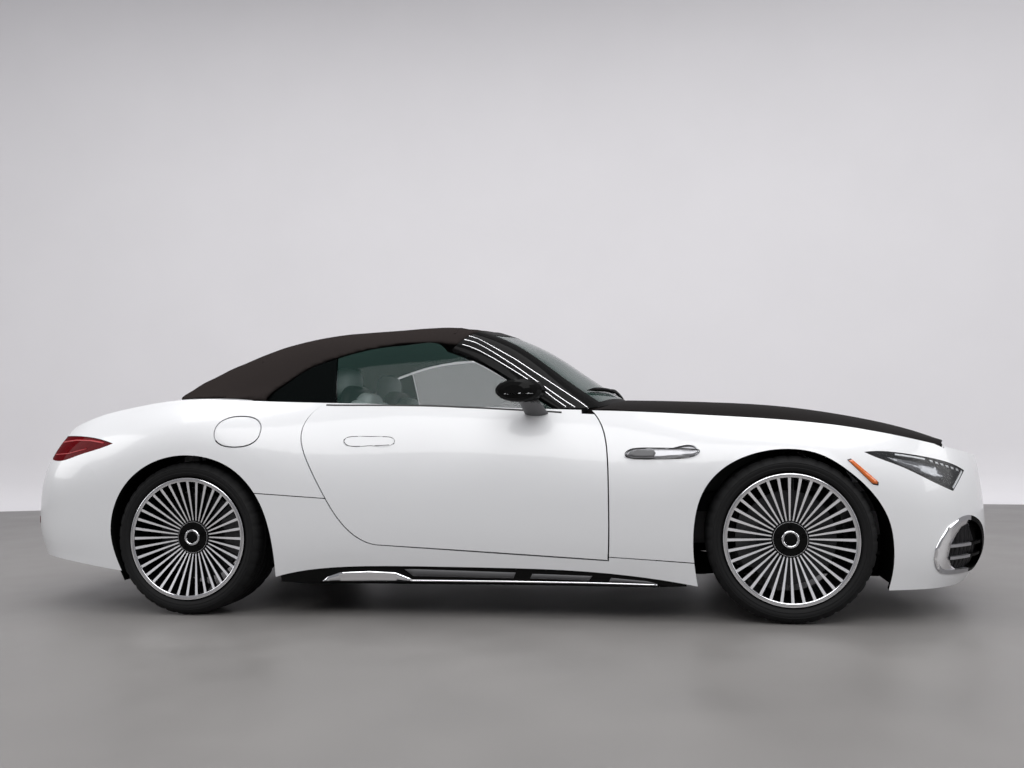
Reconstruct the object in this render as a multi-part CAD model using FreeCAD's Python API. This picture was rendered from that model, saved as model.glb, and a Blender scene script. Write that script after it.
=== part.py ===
import FreeCAD, Part
import math
import os

V = FreeCAD.Vector

# Overall size of the car, nose towards +X, left side towards +Y, wheels on z = 0
length = 4697.0
body_width = 1915.0
wheelbase = 2700.0
front_overhang = 950.0
roof_height = 1358.0

# Panels
skin = 30.0
door_thickness = 95.0
lid_thickness = 28.0
panel_gap = 6.0
seat_gap = 0.3
glass = 6.0

# Wheels and tyres
tyre_radius = 352.0
front_tyre_width = 275.0
rear_tyre_width = 300.0
wheel_face_y = 932.0
rim_radius = 278.0
rim_lip = 16.0
spoke_count = 36
spoke_root_width = 5.0
spoke_tip_width = 13.0
spoke_depth = 24.0
hub_radius = 80.0
stub_radius = 32.0
running_gap = 0.05
disc_radius = 200.0
disc_thickness = 34.0
brake_gap = 5.5

# Arches: how far the liner stands off the opening's edge, how thick it is and how low it reaches
liner_set_back = 28.0
liner_thickness = 4.0
liner_foot = 152.0

# Steering
kingpin_inset = 55.5
pin_radius = 12.0

nose_x = length / 2
tail_x = -length / 2
front_axle_x = nose_x - front_overhang
rear_axle_x = front_axle_x - wheelbase
mid_x = (front_axle_x + rear_axle_x) / 2
half_width = body_width / 2
front_wheel_y = wheel_face_y - front_tyre_width / 2
belt_y = half_width - 157.5


def surface(rows):
    patch = Part.BSplineSurface()
    patch.interpolate(rows)
    return patch


def sample(patch, u_range, v_range, lift, steps):
    """Points on a patch between two parameters each way, moved along its normal."""
    u0, u1, v0, v1 = patch.bounds()
    rows = []
    for i in range(steps[0]):
        u = u0 + (u1 - u0) * (u_range[0] + (u_range[1] - u_range[0]) * i / (steps[0] - 1))
        row = []
        for j in range(steps[1]):
            v = v0 + (v1 - v0) * (v_range[0] + (v_range[1] - v_range[0]) * j / (steps[1] - 1))
            row.append(patch.value(u, v) + patch.normal(u, v) * lift)
        rows.append(row)
    return rows


def slab(patch, outside, inside, u_range=(0.0, 1.0), v_range=(0.0, 1.0), steps=(15, 9)):
    """A closed plate between two offsets of one curved patch."""
    outer = surface(sample(patch, u_range, v_range, outside, steps)).toShape()
    inner = surface(sample(patch, u_range, v_range, inside, steps)).toShape()
    faces = [outer, inner]
    for first, second in zip(outer.Edges, inner.Edges):
        faces.append(Part.makeRuledSurface(first, second))
    shell = Part.makeShell(faces)
    shell.sewShape()
    solid = Part.makeSolid(shell)
    if solid.Volume < 0:
        solid.reverse()
    return solid


def curve(points):
    line = Part.BSplineCurve()
    line.interpolate(points)
    return line.toShape()


def outline(segments):
    """A closed face from chains of points: a chain of two is a line, a longer one is a smooth curve."""
    edges = []
    for chain in segments:
        if len(chain) == 2:
            edges.append(Part.makeLine(chain[0], chain[1]))
        else:
            edges.append(curve(chain))
    return Part.Face(Part.Wire(Part.__sortEdges__(edges)))


def side_view(chains, y_low, y_high):
    """A prism across the car whose outline is drawn in side view as (x, z)."""
    segments = [[V(x, y_low, z) for x, z in chain] for chain in chains]
    return outline(segments).extrude(V(0, y_high - y_low, 0))


def plan_view(chains, z_low, z_high):
    """A prism up through the car whose outline is drawn from above as (x, y)."""
    segments = [[V(x, y, z_low) for x, y in chain] for chain in chains]
    return outline(segments).extrude(V(0, 0, z_high - z_low))


def box(x, y, z):
    return Part.makeBox(x[1] - x[0], y[1] - y[0], z[1] - z[0], V(x[0], y[0], z[0]))


def rod(start, end, radius):
    axis = V(*end) - V(*start)
    return Part.makeCylinder(radius, axis.Length, V(*start), axis)


def mirrored(shape):
    return shape.mirror(V(0, 0, 0), V(0, 1, 0))


def both_sides(shape):
    return [shape, mirrored(shape)]


def fused(shapes):
    return shapes[0].multiFuse(shapes[1:]).removeSplitter()


def save(name, solids):
    if isinstance(solids, list):
        solids = Part.makeCompound(solids)
    solids.exportStep("parts/" + name + ".step")


os.makedirs("parts", exist_ok=True)

# Body side, from the middle of the nose round the left side to the middle of the tail.
# Each station: x, y of its widest point, z of its lower and upper edge, how far the lower
# edge, the middle and the upper edge lean in.
side_stations = [
    (nose_x, 0, 118, 676, 95, 0, 22),
    (nose_x - 40, 400, 120, 684, 95, 0, 30),
    (nose_x - 145, 665, 138, 706, 80, 0, 45),
    (nose_x - 290, 812, 138, 742, 55, 0, 62),
    (front_axle_x + 450, half_width - 54, 142, 792, 30, 0, 112),
    (front_axle_x + 280, half_width - 20, 142, 822, 25, 0, 148),
    (front_axle_x, half_width, 150, 856, 25, 0, 172),
    (front_axle_x - 300, half_width - 14, 150, 879, 25, 0, 155),
    (front_axle_x - 550, half_width - 33, 150, 897, 30, 0, 135),
    (mid_x + 300, half_width - 43, 150, 922, 40, 10, 120),
    (mid_x - 300, half_width - 40, 150, 951, 45, 15, 118),
    (mid_x - 800, half_width - 24, 150, 972, 40, 15, 140),
    (rear_axle_x + 260, half_width - 8, 160, 986, 25, 10, 160),
    (rear_axle_x, half_width, 175, 999, 20, 5, 185),
    (rear_axle_x - 290, half_width - 14, 198, 984, 15, 5, 212),
    (rear_axle_x - 560, half_width - 56, 232, 944, 15, 10, 205),
    (tail_x + 262, half_width - 130, 255, 890, 30, 25, 170),
    (tail_x + 118, half_width - 290, 255, 832, 50, 40, 130),
    (tail_x + 22, 350, 250, 805, 70, 55, 105),
    (tail_x - 13, 0, 250, 800, 80, 55, 105),
]
side_levels = [0.0, 0.1, 0.25, 0.45, 0.6, 0.72, 0.82, 0.91, 1.0]


def fullness(x):
    """How late the side turns in towards its upper edge: later over the axles than elsewhere."""
    near_front = math.exp(-((x - front_axle_x) / 330) ** 2)
    near_rear = math.exp(-((x - rear_axle_x) / 380) ** 2)
    return 2.3 + 2.4 * near_front + 2.0 * near_rear


def side_inset(x, level, foot, lean, top):
    inset = foot * max(0.0, 1 - level / 0.4) ** 2
    inset += lean * max(0.0, level - 0.15)
    inset += (top - lean * 0.85) * max(0.0, (level - 0.45) / 0.55) ** fullness(x)
    return inset


def side_rows():
    plan = [V(s[0], s[1], 0) for s in side_stations]
    normals = []
    for i in range(len(plan)):
        before = plan[i - 1] if i > 0 else V(plan[1].x, -plan[1].y, 0)
        after = plan[i + 1] if i < len(plan) - 1 else V(plan[-2].x, -plan[-2].y, 0)
        along = (after - before).normalize()
        normals.append(V(along.y, -along.x, 0))
    rows = []
    for station, place, normal in zip(side_stations, plan, normals):
        low, high, foot, lean, top = station[2:]
        row = []
        for level in side_levels:
            point = place - normal * side_inset(place.x, level, foot, lean, top)
            row.append(V(point.x, point.y, low + (high - low) * level))
        rows.append(row)
    flip = lambda row: [V(p.x, -p.y, p.z) for p in row]
    return [flip(rows[2]), flip(rows[1])] + rows + [flip(rows[-2]), flip(rows[-3])]



band = surface(side_rows())
top_line = [row[-1] for row in side_rows()]
outward = 1.0 if band.normal(0.5, 0.5).y > 0 else -1.0


def side_slab(outside, inside):
    """A closed plate that follows the whole left side of the body, cut off at the middle plane."""
    plate = slab(band, outward * outside, outward * inside, steps=(41, 11))
    return plate.common(box((tail_x - 99, nose_x + 99), (0, body_width), (-99, roof_height)))



def between(first, second, share):
    return first + (second - first) * share


def full_width(half):
    """A row from the middle outwards becomes a row from the right edge to the left edge."""
    right = [V(p.x, -p.y, p.z) for p in half[:0:-1]]
    return right + half


# Bonnet and nose, as rows from the middle of the car out to the upper edge of the side
hood_rear_edge = between(top_line[10], top_line[11], 0.62)
hood_rows = [
    [V(front_axle_x - 690, 0, 972), V(front_axle_x - 700, 300, 967), V(front_axle_x - 745, 580, 947),
     hood_rear_edge],
    [V(front_axle_x - 500, 0, 965), V(front_axle_x - 505, 300, 960), V(front_axle_x - 530, 580, 937),
     top_line[10]],
    [V(front_axle_x - 270, 0, 953), V(front_axle_x - 272, 300, 949), V(front_axle_x - 285, 580, 924),
     top_line[9]],
    [V(front_axle_x - 5, 0, 933), V(front_axle_x - 5, 300, 929), V(front_axle_x - 3, 580, 902),
     top_line[8]],
    [V(front_axle_x + 270, 0, 893), V(front_axle_x + 268, 300, 889), V(front_axle_x + 264, 580, 864),
     top_line[7]],
    [V(front_axle_x + 540, 0, 836), V(front_axle_x + 530, 290, 832), V(front_axle_x + 475, 570, 820),
     top_line[6]],
    [V(front_axle_x + 770, 0, 757), V(front_axle_x + 755, 260, 754), V(front_axle_x + 695, 500, 763),
     top_line[5]],
    [top_line[2], top_line[3], between(top_line[3], top_line[4], 0.55), top_line[4]],
]
hood_patch = surface([full_width(row) for row in hood_rows])

# Rear deck, drawn the same way
deck_rows = [
    [V(rear_axle_x + 250, 0, 1022), V(rear_axle_x + 250, 300, 1018), V(rear_axle_x + 250, 560, 1006),
     top_line[14]],
    [V(rear_axle_x - 20, 0, 1030), V(rear_axle_x - 15, 300, 1026), V(rear_axle_x - 8, 560, 1014),
     top_line[15]],
    [V(rear_axle_x - 320, 0, 1017), V(rear_axle_x - 315, 300, 1013), V(rear_axle_x - 290, 540, 1002),
     top_line[16]],
    [V(rear_axle_x - 600, 0, 962), V(rear_axle_x - 590, 290, 959), V(rear_axle_x - 550, 520, 951),
     top_line[17]],
    [V(rear_axle_x - 795, 0, 886), V(rear_axle_x - 780, 260, 885), V(rear_axle_x - 735, 490, 884),
     top_line[18]],
    [top_line[21], top_line[20], between(top_line[20], top_line[19], 0.5), top_line[19]],
]
deck_patch = surface([full_width(row) for row in deck_rows])

# Soft top, as rows from the middle of the car down to the belt
roof_rows = [
    [V(mid_x - 8, 0, 1340), V(mid_x - 28, 270, 1331), V(mid_x - 52, 460, 1312), V(mid_x - 76, 580, 1290),
     V(mid_x - 100, 655, 1215), V(mid_x - 110, 725, 1090), V(mid_x - 120, 775, 945)],
    [V(mid_x - 340, 0, roof_height), V(mid_x - 342, 270, 1350), V(mid_x - 346, 460, 1334),
     V(mid_x - 350, 590, 1302),
     V(mid_x - 354, 668, 1215), V(mid_x - 360, 735, 1095), V(mid_x - 365, 785, 957)],
    [V(mid_x - 670, 0, 1348), V(mid_x - 665, 270, 1340), V(mid_x - 658, 460, 1322),
     V(mid_x - 650, 595, 1284),
     V(mid_x - 645, 675, 1195), V(mid_x - 640, 738, 1085), V(mid_x - 640, 785, 968)],
    [V(mid_x - 1030, 0, 1298), V(mid_x - 1020, 270, 1292), V(mid_x - 995, 465, 1276),
     V(mid_x - 965, 605, 1230),
     V(mid_x - 945, 685, 1145), V(mid_x - 930, 740, 1060), V(mid_x - 920, 782, 980)],
    [V(mid_x - 1345, 0, 1202), V(mid_x - 1330, 270, 1198), V(mid_x - 1280, 470, 1182),
     V(mid_x - 1220, 610, 1137),
     V(mid_x - 1175, 690, 1080), V(mid_x - 1140, 738, 1032), V(mid_x - 1110, 772, 990)],
    [V(mid_x - 1585, 0, 1108), V(mid_x - 1560, 270, 1104), V(mid_x - 1480, 475, 1092),
     V(mid_x - 1385, 610, 1065),
     V(mid_x - 1320, 685, 1035), V(mid_x - 1275, 730, 1012), V(mid_x - 1240, 765, 996)],
    [V(mid_x - 1745, 0, 1028), V(mid_x - 1710, 270, 1025), V(mid_x - 1615, 480, 1018),
     V(mid_x - 1505, 615, 1011),
     V(mid_x - 1430, 680, 1006), V(mid_x - 1375, 725, 1003), V(mid_x - 1335, 757, 1000)],
]
roof_patch = surface([full_width(row) for row in roof_rows])

# Windscreen with its pillars, as rows from the middle of the car out to the door glass
screen_rows = [
    [V(mid_x + 650, 0, 962), V(mid_x + 634, 250, 959), V(mid_x + 592, 500, 947), V(mid_x + 509, 715, 926),
     V(mid_x + 440, 755, 924), V(mid_x + 365, 775, 922)],
    [V(mid_x + 455, 0, 1092), V(mid_x + 440, 235, 1089), V(mid_x + 400, 460, 1077),
     V(mid_x + 325, 663, 1054),
     V(mid_x + 260, 702, 1046), V(mid_x + 195, 725, 1030)],
    [V(mid_x + 235, 0, 1240), V(mid_x + 224, 220, 1237), V(mid_x + 192, 430, 1227),
     V(mid_x + 120, 622, 1202),
     V(mid_x + 70, 660, 1176), V(mid_x + 20, 682, 1137)],
    [V(mid_x, 0, roof_height - 18), V(mid_x - 10, 205, 1334), V(mid_x - 30, 400, 1319),
     V(mid_x - 68, 580, 1290),
     V(mid_x - 110, 625, 1256), V(mid_x - 153, 648, 1210)],
]
screen_patch = surface([full_width(row) for row in screen_rows])

# Side windows, one sheet for both panes of the left side
pane_rows = []
for x in (mid_x - 1100, mid_x - 700, mid_x - 350, mid_x, mid_x + 350, mid_x + 620):
    row = []
    for rise in (-30, 60, 160, 260, 330):
        belt = belt_y - 12 - 0.00006 * (x - mid_x + 350) ** 2
        row.append(V(x, belt - 0.30 * rise - 0.00035 * rise * abs(rise), 950 + rise))
    pane_rows.append(row)
pane_patch = surface(pane_rows)


def lift_sign(patch, direction):
    return 1.0 if patch.normal(0.5, 0.5).dot(direction) > 0 else -1.0


hood_up = lift_sign(hood_patch, V(0, 0, 1))
deck_up = lift_sign(deck_patch, V(0, 0, 1))
roof_up = lift_sign(roof_patch, V(0, 0, 1))
screen_up = lift_sign(screen_patch, V(0, 0, 1))
pane_out = lift_sign(pane_patch, V(0, 1, 0))


def curved(patch, sign, outside, inside, u_range=(0.0, 1.0), v_range=(0.0, 1.0), steps=(17, 13)):
    return slab(patch, sign * outside, sign * inside, u_range, v_range, steps)


body_skin = side_slab(0, -skin)
door_block = side_slab(0, -door_thickness)
deck_skin = curved(deck_patch, deck_up, 0, -lid_thickness)
deck_cutter = curved(deck_patch, deck_up, seat_gap, -90)

# Outlines on the side of the body, as (x, z)
far = half_width + 60
inner = 300
door_front = [(mid_x + 581, 262), (mid_x + 587, 400), (mid_x + 588, 521), (mid_x + 584, 714),
              (mid_x + 562, 834),
              (mid_x + 527, 895), (mid_x + 478, 935)]
door_rear = [(mid_x - 700, 990), (mid_x - 740, 958), (mid_x - 780, 920), (mid_x - 806, 870),
             (mid_x - 812, 820),
             (mid_x - 800, 765), (mid_x - 764, 684), (mid_x - 699, 562), (mid_x - 630, 450),
             (mid_x - 545, 364),
             (mid_x - 455, 326)]


def door_prism(gap):
    """The door's outline in side view, larger by a gap all round."""
    front = [(x + gap, z) for x, z in door_front]
    rear = [(x - gap * 0.8, z - gap * 0.6) for x, z in door_rear]
    front[0] = (front[0][0], front[0][1] - gap)
    bottom = [rear[-1], (mid_x - 60, 302 - gap), front[0]]
    top = [front[-1], (front[-1][0], 1100)]
    lid = [top[-1], (rear[0][0], 1100)]
    back = [lid[-1], rear[0]]
    return side_view([bottom, front, top, lid, back, rear], inner, far)


door_hole = door_prism(panel_gap)


def below(points):
    """Everything on the left side under a line in side view."""
    start, end = points[0], points[-1]
    low_start, low_end = (start[0], -50), (end[0], -50)
    return side_view([points, [end, low_end], [low_end, low_start], [low_start, start]], inner, far)


def above(points, drop):
    """Everything on the left side over a line in side view, the line lowered a little."""
    points = [(x, z - drop) for x, z in points]
    start, end = points[0], points[-1]
    high_start, high_end = (start[0], 720), (end[0], 720)
    return side_view([points, [end, high_end], [high_end, high_start], [high_start, start]], inner, far)


def arch(axle_x, line, grow, y_low, y_high):
    """The opening over a wheel, its outline moved outwards from the wheel by a set amount."""
    points = []
    for x, z in line:
        reach = math.hypot(x, z - tyre_radius)
        points.append((axle_x + x * (1 + grow / reach), z + (z - tyre_radius) * grow / reach))
    start, end = points[0], points[-1]
    low_start, low_end = (start[0], -50), (end[0], -50)
    return side_view([points, [end, low_end], [low_end, low_start], [low_start, start]], y_low, y_high)


front_arch_line = [(-387, 150), (-402, 270), (-396, 430), (-352, 565), (-270, 655), (-140, 716), (0, 733),
                   (130, 708), (245, 634), (345, 530), (400, 420), (413, 330), (410, 240), (391, 150)]
rear_arch_line = [(-290, 130), (-338, 225), (-382, 372), (-335, 560), (-177, 698), (25, 735), (221, 674),
                  (356, 520), (415, 320), (423, 150)]
front_arch = arch(front_axle_x, front_arch_line, 0, 470, far + 60)
rear_arch = arch(rear_axle_x, rear_arch_line, 0, 560, far + 60)


def liner(axle_x, line, y_low):
    """The dark shell between a wheel and the body, set back from the edge of the opening."""
    y_high = half_width - 75
    outside = arch(axle_x, line, liner_set_back + liner_thickness, y_low, y_high)
    inside = arch(axle_x, line, liner_set_back, y_low - 9, y_high + 9)
    return outside.cut(inside).common(box((tail_x, nose_x), (0, far), (liner_foot, 900)))


def smooth_zone(points, grow, y_low=300.0):
    """A prism with a smooth closed outline in side view, drawn larger by a set amount."""
    middle_x = sum(x for x, z in points) / len(points)
    middle_z = sum(z for x, z in points) / len(points)
    ring = []
    for x, z in points:
        reach = math.hypot(x - middle_x, z - middle_z)
        share = 1 + grow / reach
        ring.append(V(middle_x + (x - middle_x) * share, y_low, middle_z + (z - middle_z) * share))
    line = Part.BSplineCurve()
    line.interpolate(ring, PeriodicFlag=True)
    return Part.Face(Part.Wire(line.toShape())).extrude(V(0, far - y_low, 0))


# Panel seams
wing_foot = [(mid_x + 500, 281), (front_axle_x, 232)]
wing_nose = [[(front_axle_x + 262, 590), (front_axle_x + 345, 724)],
             [(front_axle_x + 345, 724), (front_axle_x + 460, 722), (front_axle_x + 570, 706),
              (front_axle_x + 690, 672)],
             [(front_axle_x + 690, 672), (front_axle_x + 712, 900)],
             [(front_axle_x + 712, 900), (nose_x + 80, 900)],
             [(nose_x + 80, 900), (nose_x + 80, 0)],
             [(nose_x + 80, 0), (front_axle_x + 262, 0)],
             [(front_axle_x + 262, 0), (front_axle_x + 262, 590)]]
bumper_zone = side_view(wing_nose, -10, far)
quarter_foot = [(rear_axle_x, 587), (mid_x - 600, 528)]
sill_line = [(rear_axle_x + 300, 125), (mid_x - 930, 177), (mid_x - 812, 204), (mid_x - 672, 220),
             (mid_x - 348, 228), (mid_x + 16, 224), (mid_x + 372, 216), (mid_x + 718, 189),
             (mid_x + 930, 159),
             (front_axle_x - 250, 125)]

# Trim set in the side: air outlet behind the front wheel, door handle and the nose's corner intake
vent_line = [(mid_x + 660, 712), (mid_x + 676, 733), (mid_x + 712, 743), (mid_x + 850, 740),
             (mid_x + 980, 735),
             (mid_x + 984, 722), (mid_x + 962, 704), (mid_x + 900, 696), (mid_x + 780, 695),
             (mid_x + 690, 696)]
handle_line = [(mid_x - 612, 790), (mid_x - 600, 806), (mid_x - 570, 812), (mid_x - 490, 811),
               (mid_x - 405, 808),
               (mid_x - 380, 800), (mid_x - 372, 786), (mid_x - 386, 770), (mid_x - 480, 766),
               (mid_x - 580, 766)]
intake_line = [(front_axle_x + 802, 424), (front_axle_x + 715, 434), (front_axle_x + 634, 373),
               (front_axle_x + 596, 312), (front_axle_x + 584, 263), (front_axle_x + 602, 215),
               (front_axle_x + 660, 194), (front_axle_x + 760, 188), (front_axle_x + 850, 200),
               (front_axle_x + 868, 310)]
vent_depth = 14.0
intake_rim = 20.0

# Hinge line of the left door, close behind the skin, and the room its front edge sweeps
door_hinge_x = mid_x + 528
door_hinge_y = half_width - 36
door_sweep = 148.0

# Rebate under the front end of the door behind its skin, which clears the skirt as the door swings
door_rebate = box((door_hinge_x - 210, door_hinge_x + 120), (0, half_width - 57), (100, 284))

# Openings for the two lids, from above
hood_side = [(p.x, p.y) for p in [hood_rear_edge, top_line[10], top_line[9], top_line[8], top_line[7],
                                  top_line[6]]]
hood_side.append((top_line[5].x - 20, top_line[5].y))
hood_front = [hood_side[-1], (front_axle_x + 715, 640), (front_axle_x + 768, 450),
              (front_axle_x + 806, 220),
              (front_axle_x + 818, 0)]
cowl_line = [hood_side[0], (front_axle_x - 725, 560), (front_axle_x - 688, 300), (front_axle_x - 676, 0)]


def across(points):
    """A chain from the left side to the middle, carried on to the right side."""
    return points + [(x, -y) for x, y in points[-2::-1]]


def lid_prism(rear, side, front, gap, low, high):
    """A lid's outline from above, smaller by a gap all round; rear and front run from side to middle."""
    rear = [(x + gap, y) for x, y in rear]
    front = [(x - gap, y) for x, y in front]
    side = [(x, y - gap) for x, y in side]
    side[0] = (rear[0][0], side[0][1])
    side[-1] = (front[0][0], side[-1][1])
    front[0] = side[-1]
    rear[0] = side[0]
    right = [(x, -y) for x, y in side]
    return plan_view([across(rear), side, across(front), right], low, high)


hood_opening = lid_prism(cowl_line, hood_side, hood_front, 0, 640, 1100)
boot_front = [(rear_axle_x - 380, 590), (rear_axle_x - 400, 520), (rear_axle_x - 440, 300),
              (rear_axle_x - 455, 0)]
boot_side = [(rear_axle_x - 800, 560), (rear_axle_x - 680, 596), (rear_axle_x - 560, 606),
             (rear_axle_x - 380, 590)]
boot_rear = [(rear_axle_x - 800, 560), (rear_axle_x - 875, 490), (rear_axle_x - 950, 320),
             (rear_axle_x - 985, 0)]
boot_opening = lid_prism(boot_rear, boot_side, boot_front, 0, 700, 1100)
boot_lid_zone = lid_prism(boot_rear, boot_side, boot_front, panel_gap, 700, 1100)
cabin_rear = [(rear_axle_x - 40, 600), (rear_axle_x - 190, 480), (rear_axle_x - 280, 260),
              (rear_axle_x - 300, 0)]

# Lamps, on the side outline
headlamp_line = [[(front_axle_x + 310, 715), (front_axle_x + 372, 718), (front_axle_x + 442, 712),
                  (front_axle_x + 590, 686), (front_axle_x + 682, 661), (front_axle_x + 753, 627)],
                 [(front_axle_x + 753, 627), (front_axle_x + 683, 544)],
                 [(front_axle_x + 683, 544), (front_axle_x + 558, 603), (front_axle_x + 455, 654),
                  (front_axle_x + 374, 686), (front_axle_x + 310, 715)]]
tail_lamp_line = [[(rear_axle_x - 400, 794), (rear_axle_x - 517, 820), (rear_axle_x - 655, 832),
                   (rear_axle_x - 760, 832), (rear_axle_x - 900, 822)],
                  [(rear_axle_x - 900, 822), (rear_axle_x - 900, 735)],
                  [(rear_axle_x - 900, 735), (rear_axle_x - 790, 716), (rear_axle_x - 720, 712),
                   (rear_axle_x - 677, 717), (rear_axle_x - 595, 740), (rear_axle_x - 476, 770),
                   (rear_axle_x - 400, 794)]]
headlamp_zone = side_view(headlamp_line, 350, far)
tail_lamp_zone = side_view(tail_lamp_line, 330, far)

# Front wing
hood_front_u = hood_patch.parameter(V(front_axle_x + 790, 0, 752))[0]
hood_room = curved(hood_patch, hood_up, 40, -lid_thickness - panel_gap, (0.0, hood_front_u + 0.005))
front_wing = body_skin.common(box((mid_x + 440, nose_x), (inner, far), (100, 1100)))
for cutter in (door_hole, bumper_zone, below(wing_foot), front_arch, hood_opening, headlamp_zone, hood_room,
               side_slab(9, -vent_depth).common(smooth_zone(vent_line, 0))):
    front_wing = front_wing.cut(cutter)
front_wing = max(front_wing.Solids, key=lambda solid: solid.Volume)
save("front_fenders", both_sides(front_wing))

# Doors
door = door_block.common(door_prism(0))
door = door.cut(box((mid_x + 470, mid_x + 620), (inner, belt_y + 2), (870, 1100))).cut(hood_room)
handle_groove = side_slab(9, -4).common(smooth_zone(handle_line, 0)).cut(smooth_zone(handle_line, -3))
door = door.cut(handle_groove).cut(door_rebate)
door = max(door.Solids, key=lambda solid: solid.Volume)
save("door_left", door)
save("door_right", mirrored(door))

# Rear quarters, and the cover over the folded roof's bay between them
def round_end(points, gap, close_x, low, high):
    """The plan inside the upper edge of the body round one end of the car, drawn in by a gap."""
    outwards = 1 if points[-1].x > 0 else -1
    last = len(points) - 1
    edge = []
    for i, p in enumerate(points):
        share = i / last
        edge.append((p.x - outwards * gap * share, (p.y - gap * (1 - share)) if i < last else 0.0))
    left = edge[0]
    right = (left[0], -left[1])
    return plan_view([across(edge), [right, (close_x, right[1])], [(close_x, right[1]), (close_x, left[1])],
                      [(close_x, left[1]), left]], low, high)


rear_split_x = rear_axle_x - 430
rear_zone = box((tail_x - 60, mid_x - 400), (-10, far), (100, 1100))
quarter = body_skin.common(rear_zone)
rear_bumper_zone = side_view([[(rear_split_x, 560), (rear_axle_x - 520, 690), (rear_axle_x - 640, 712)],
                              [(rear_axle_x - 640, 712), (tail_x - 60, 720)],
                              [(tail_x - 60, 720), (tail_x - 60, 0)],
                              [(tail_x - 60, 0), (rear_split_x, 0)],
                              [(rear_split_x, 0), (rear_split_x, 560)]], -10, far)
rear_low = quarter.common(rear_bumper_zone)
deck_front_x = rear_axle_x + 300
deck_room = round_end(top_line[14:22], 0, deck_front_x, 700, 1200)
deck_zone = round_end(top_line[14:22], 4, deck_front_x, 700, 1200)
boot_room = curved(deck_patch, deck_up, 40, -lid_thickness - panel_gap).common(boot_opening)
for cutter in (door_hole, below(quarter_foot), rear_arch, rear_bumper_zone, boot_room, tail_lamp_zone,
               deck_room):
    quarter = quarter.cut(cutter)
quarter = max(quarter.Solids, key=lambda solid: solid.Volume)
rear_body = fused([quarter, mirrored(quarter)])
save("rear_body", rear_body)
cabin_hole = plan_view([across(cabin_rear), [(rear_axle_x - 40, -600), (rear_axle_x + 60, -690)],
                        [(rear_axle_x + 60, -690), (rear_axle_x + 400, -740)],
                        [(rear_axle_x + 400, -740), (rear_axle_x + 400, 740)],
                        [(rear_axle_x + 400, 740), (rear_axle_x + 60, 690)],
                        [(rear_axle_x + 60, 690), (rear_axle_x - 40, 600)]], 800, 1200)
deck = deck_skin.common(deck_zone).cut(boot_opening).cut(cabin_hole)
save("roof_cover", deck)

# Side skirts
skirt = body_skin.common(box((rear_axle_x, front_axle_x), (inner, far), (100, 700)))
for cutter in (door_hole, above(quarter_foot, 4), above(wing_foot, 4), front_arch, rear_arch,
               below(sill_line)):
    skirt = skirt.cut(cutter)
skirt = max(skirt.Solids, key=lambda solid: solid.Volume)
save("side_skirts", both_sides(skirt))

# Bumpers
nose_room = round_end(top_line[5:1:-1], 0, front_axle_x + 560, 600, 1200)
mouth_line = [V(nose_x + 60, 0, 372), V(nose_x + 60, 490, 372), V(nose_x + 60, 420, 622),
              V(nose_x + 60, 0, 622)]
mouth = Part.Face(Part.makePolygon(mouth_line + [mouth_line[0]])).extrude(V(-400, 0, 0))
low_mouth = box((nose_x - 300, nose_x + 60), (0, 430), (190, 300))
front_half = body_skin.common(bumper_zone)
for cutter in (front_arch, headlamp_zone, nose_room, mouth, low_mouth, smooth_zone(intake_line, 0)):
    front_half = front_half.cut(cutter)
front_half = max(front_half.Solids, key=lambda solid: solid.Volume)
nose_panel = curved(hood_patch, hood_up, 0, -lid_thickness, (hood_front_u + 0.006, 0.995), (0.02, 0.98),
                    (4, 11))
front_bumper = fused([front_half, mirrored(front_half)])
save("front_bumper", front_bumper.Solids + nose_panel.Solids)
tip_notch = box((tail_x - 20, tail_x + 330), (372, 588), (150, 322))
rear_half = rear_low.cut(rear_arch).cut(boot_room).cut(tip_notch).cut(tail_lamp_zone)
rear_half = max(rear_half.Solids, key=lambda solid: solid.Volume)
rear_bumper = fused([rear_half, mirrored(rear_half)])
save("rear_bumper", rear_bumper)

# Lids
hood = curved(hood_patch, hood_up, 0, -lid_thickness, (0.0, hood_front_u), (0.004, 0.996))
save("hood", hood)
boot_lid = deck_skin.common(boot_lid_zone).common(round_end(top_line[14:22], panel_gap, deck_front_x, 700,
                                                            1200))
save("boot_lid", boot_lid)

# Lamps
headlamp_body = side_slab(-3, -70).common(headlamp_zone.copy())
save("headlamps", both_sides(headlamp_body))
tail_lamp = side_slab(-3, -55).common(tail_lamp_zone).cut(boot_room).cut(deck_room)
tail_lamp = max(tail_lamp.Solids, key=lambda solid: solid.Volume)
save("tail_lamps", both_sides(tail_lamp))

# Soft top, cut round the side windows and the rear window
window_top = [(mid_x - 1035, 985), (mid_x - 1005, 1030), (mid_x - 958, 1062), (mid_x - 872, 1123),
              (mid_x - 746, 1176),
              (mid_x - 621, 1212), (mid_x - 473, 1239), (mid_x - 330, 1250), (mid_x - 200, 1243),
              (mid_x - 120, 1228),
              (mid_x - 60, 1205)]
window_zone = side_view([window_top, [window_top[-1], (mid_x - 60, 900)],
                         [(mid_x - 60, 900), (mid_x - 1035, 900)],
                         [(mid_x - 1035, 900), window_top[0]]], 450, far)
roof = curved(roof_patch, roof_up, 0, -30, steps=(25, 21))
roof = roof.cut(window_zone).cut(mirrored(window_zone)).cut(deck_cutter)
roof = max(roof.Solids, key=lambda solid: solid.Volume)
roof = roof.cut(curved(screen_patch, screen_up, 90, -38 - seat_gap))
roof = roof.cut(side_slab(60, -60)).cut(mirrored(side_slab(60, -60)))
roof = max(roof.Solids, key=lambda solid: solid.Volume)
rear_pane_u = (0.66, 0.86)
rear_pane_v = (0.30, 0.70)
pane_hole = curved(roof_patch, roof_up, 40, -80, rear_pane_u, rear_pane_v)
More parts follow.
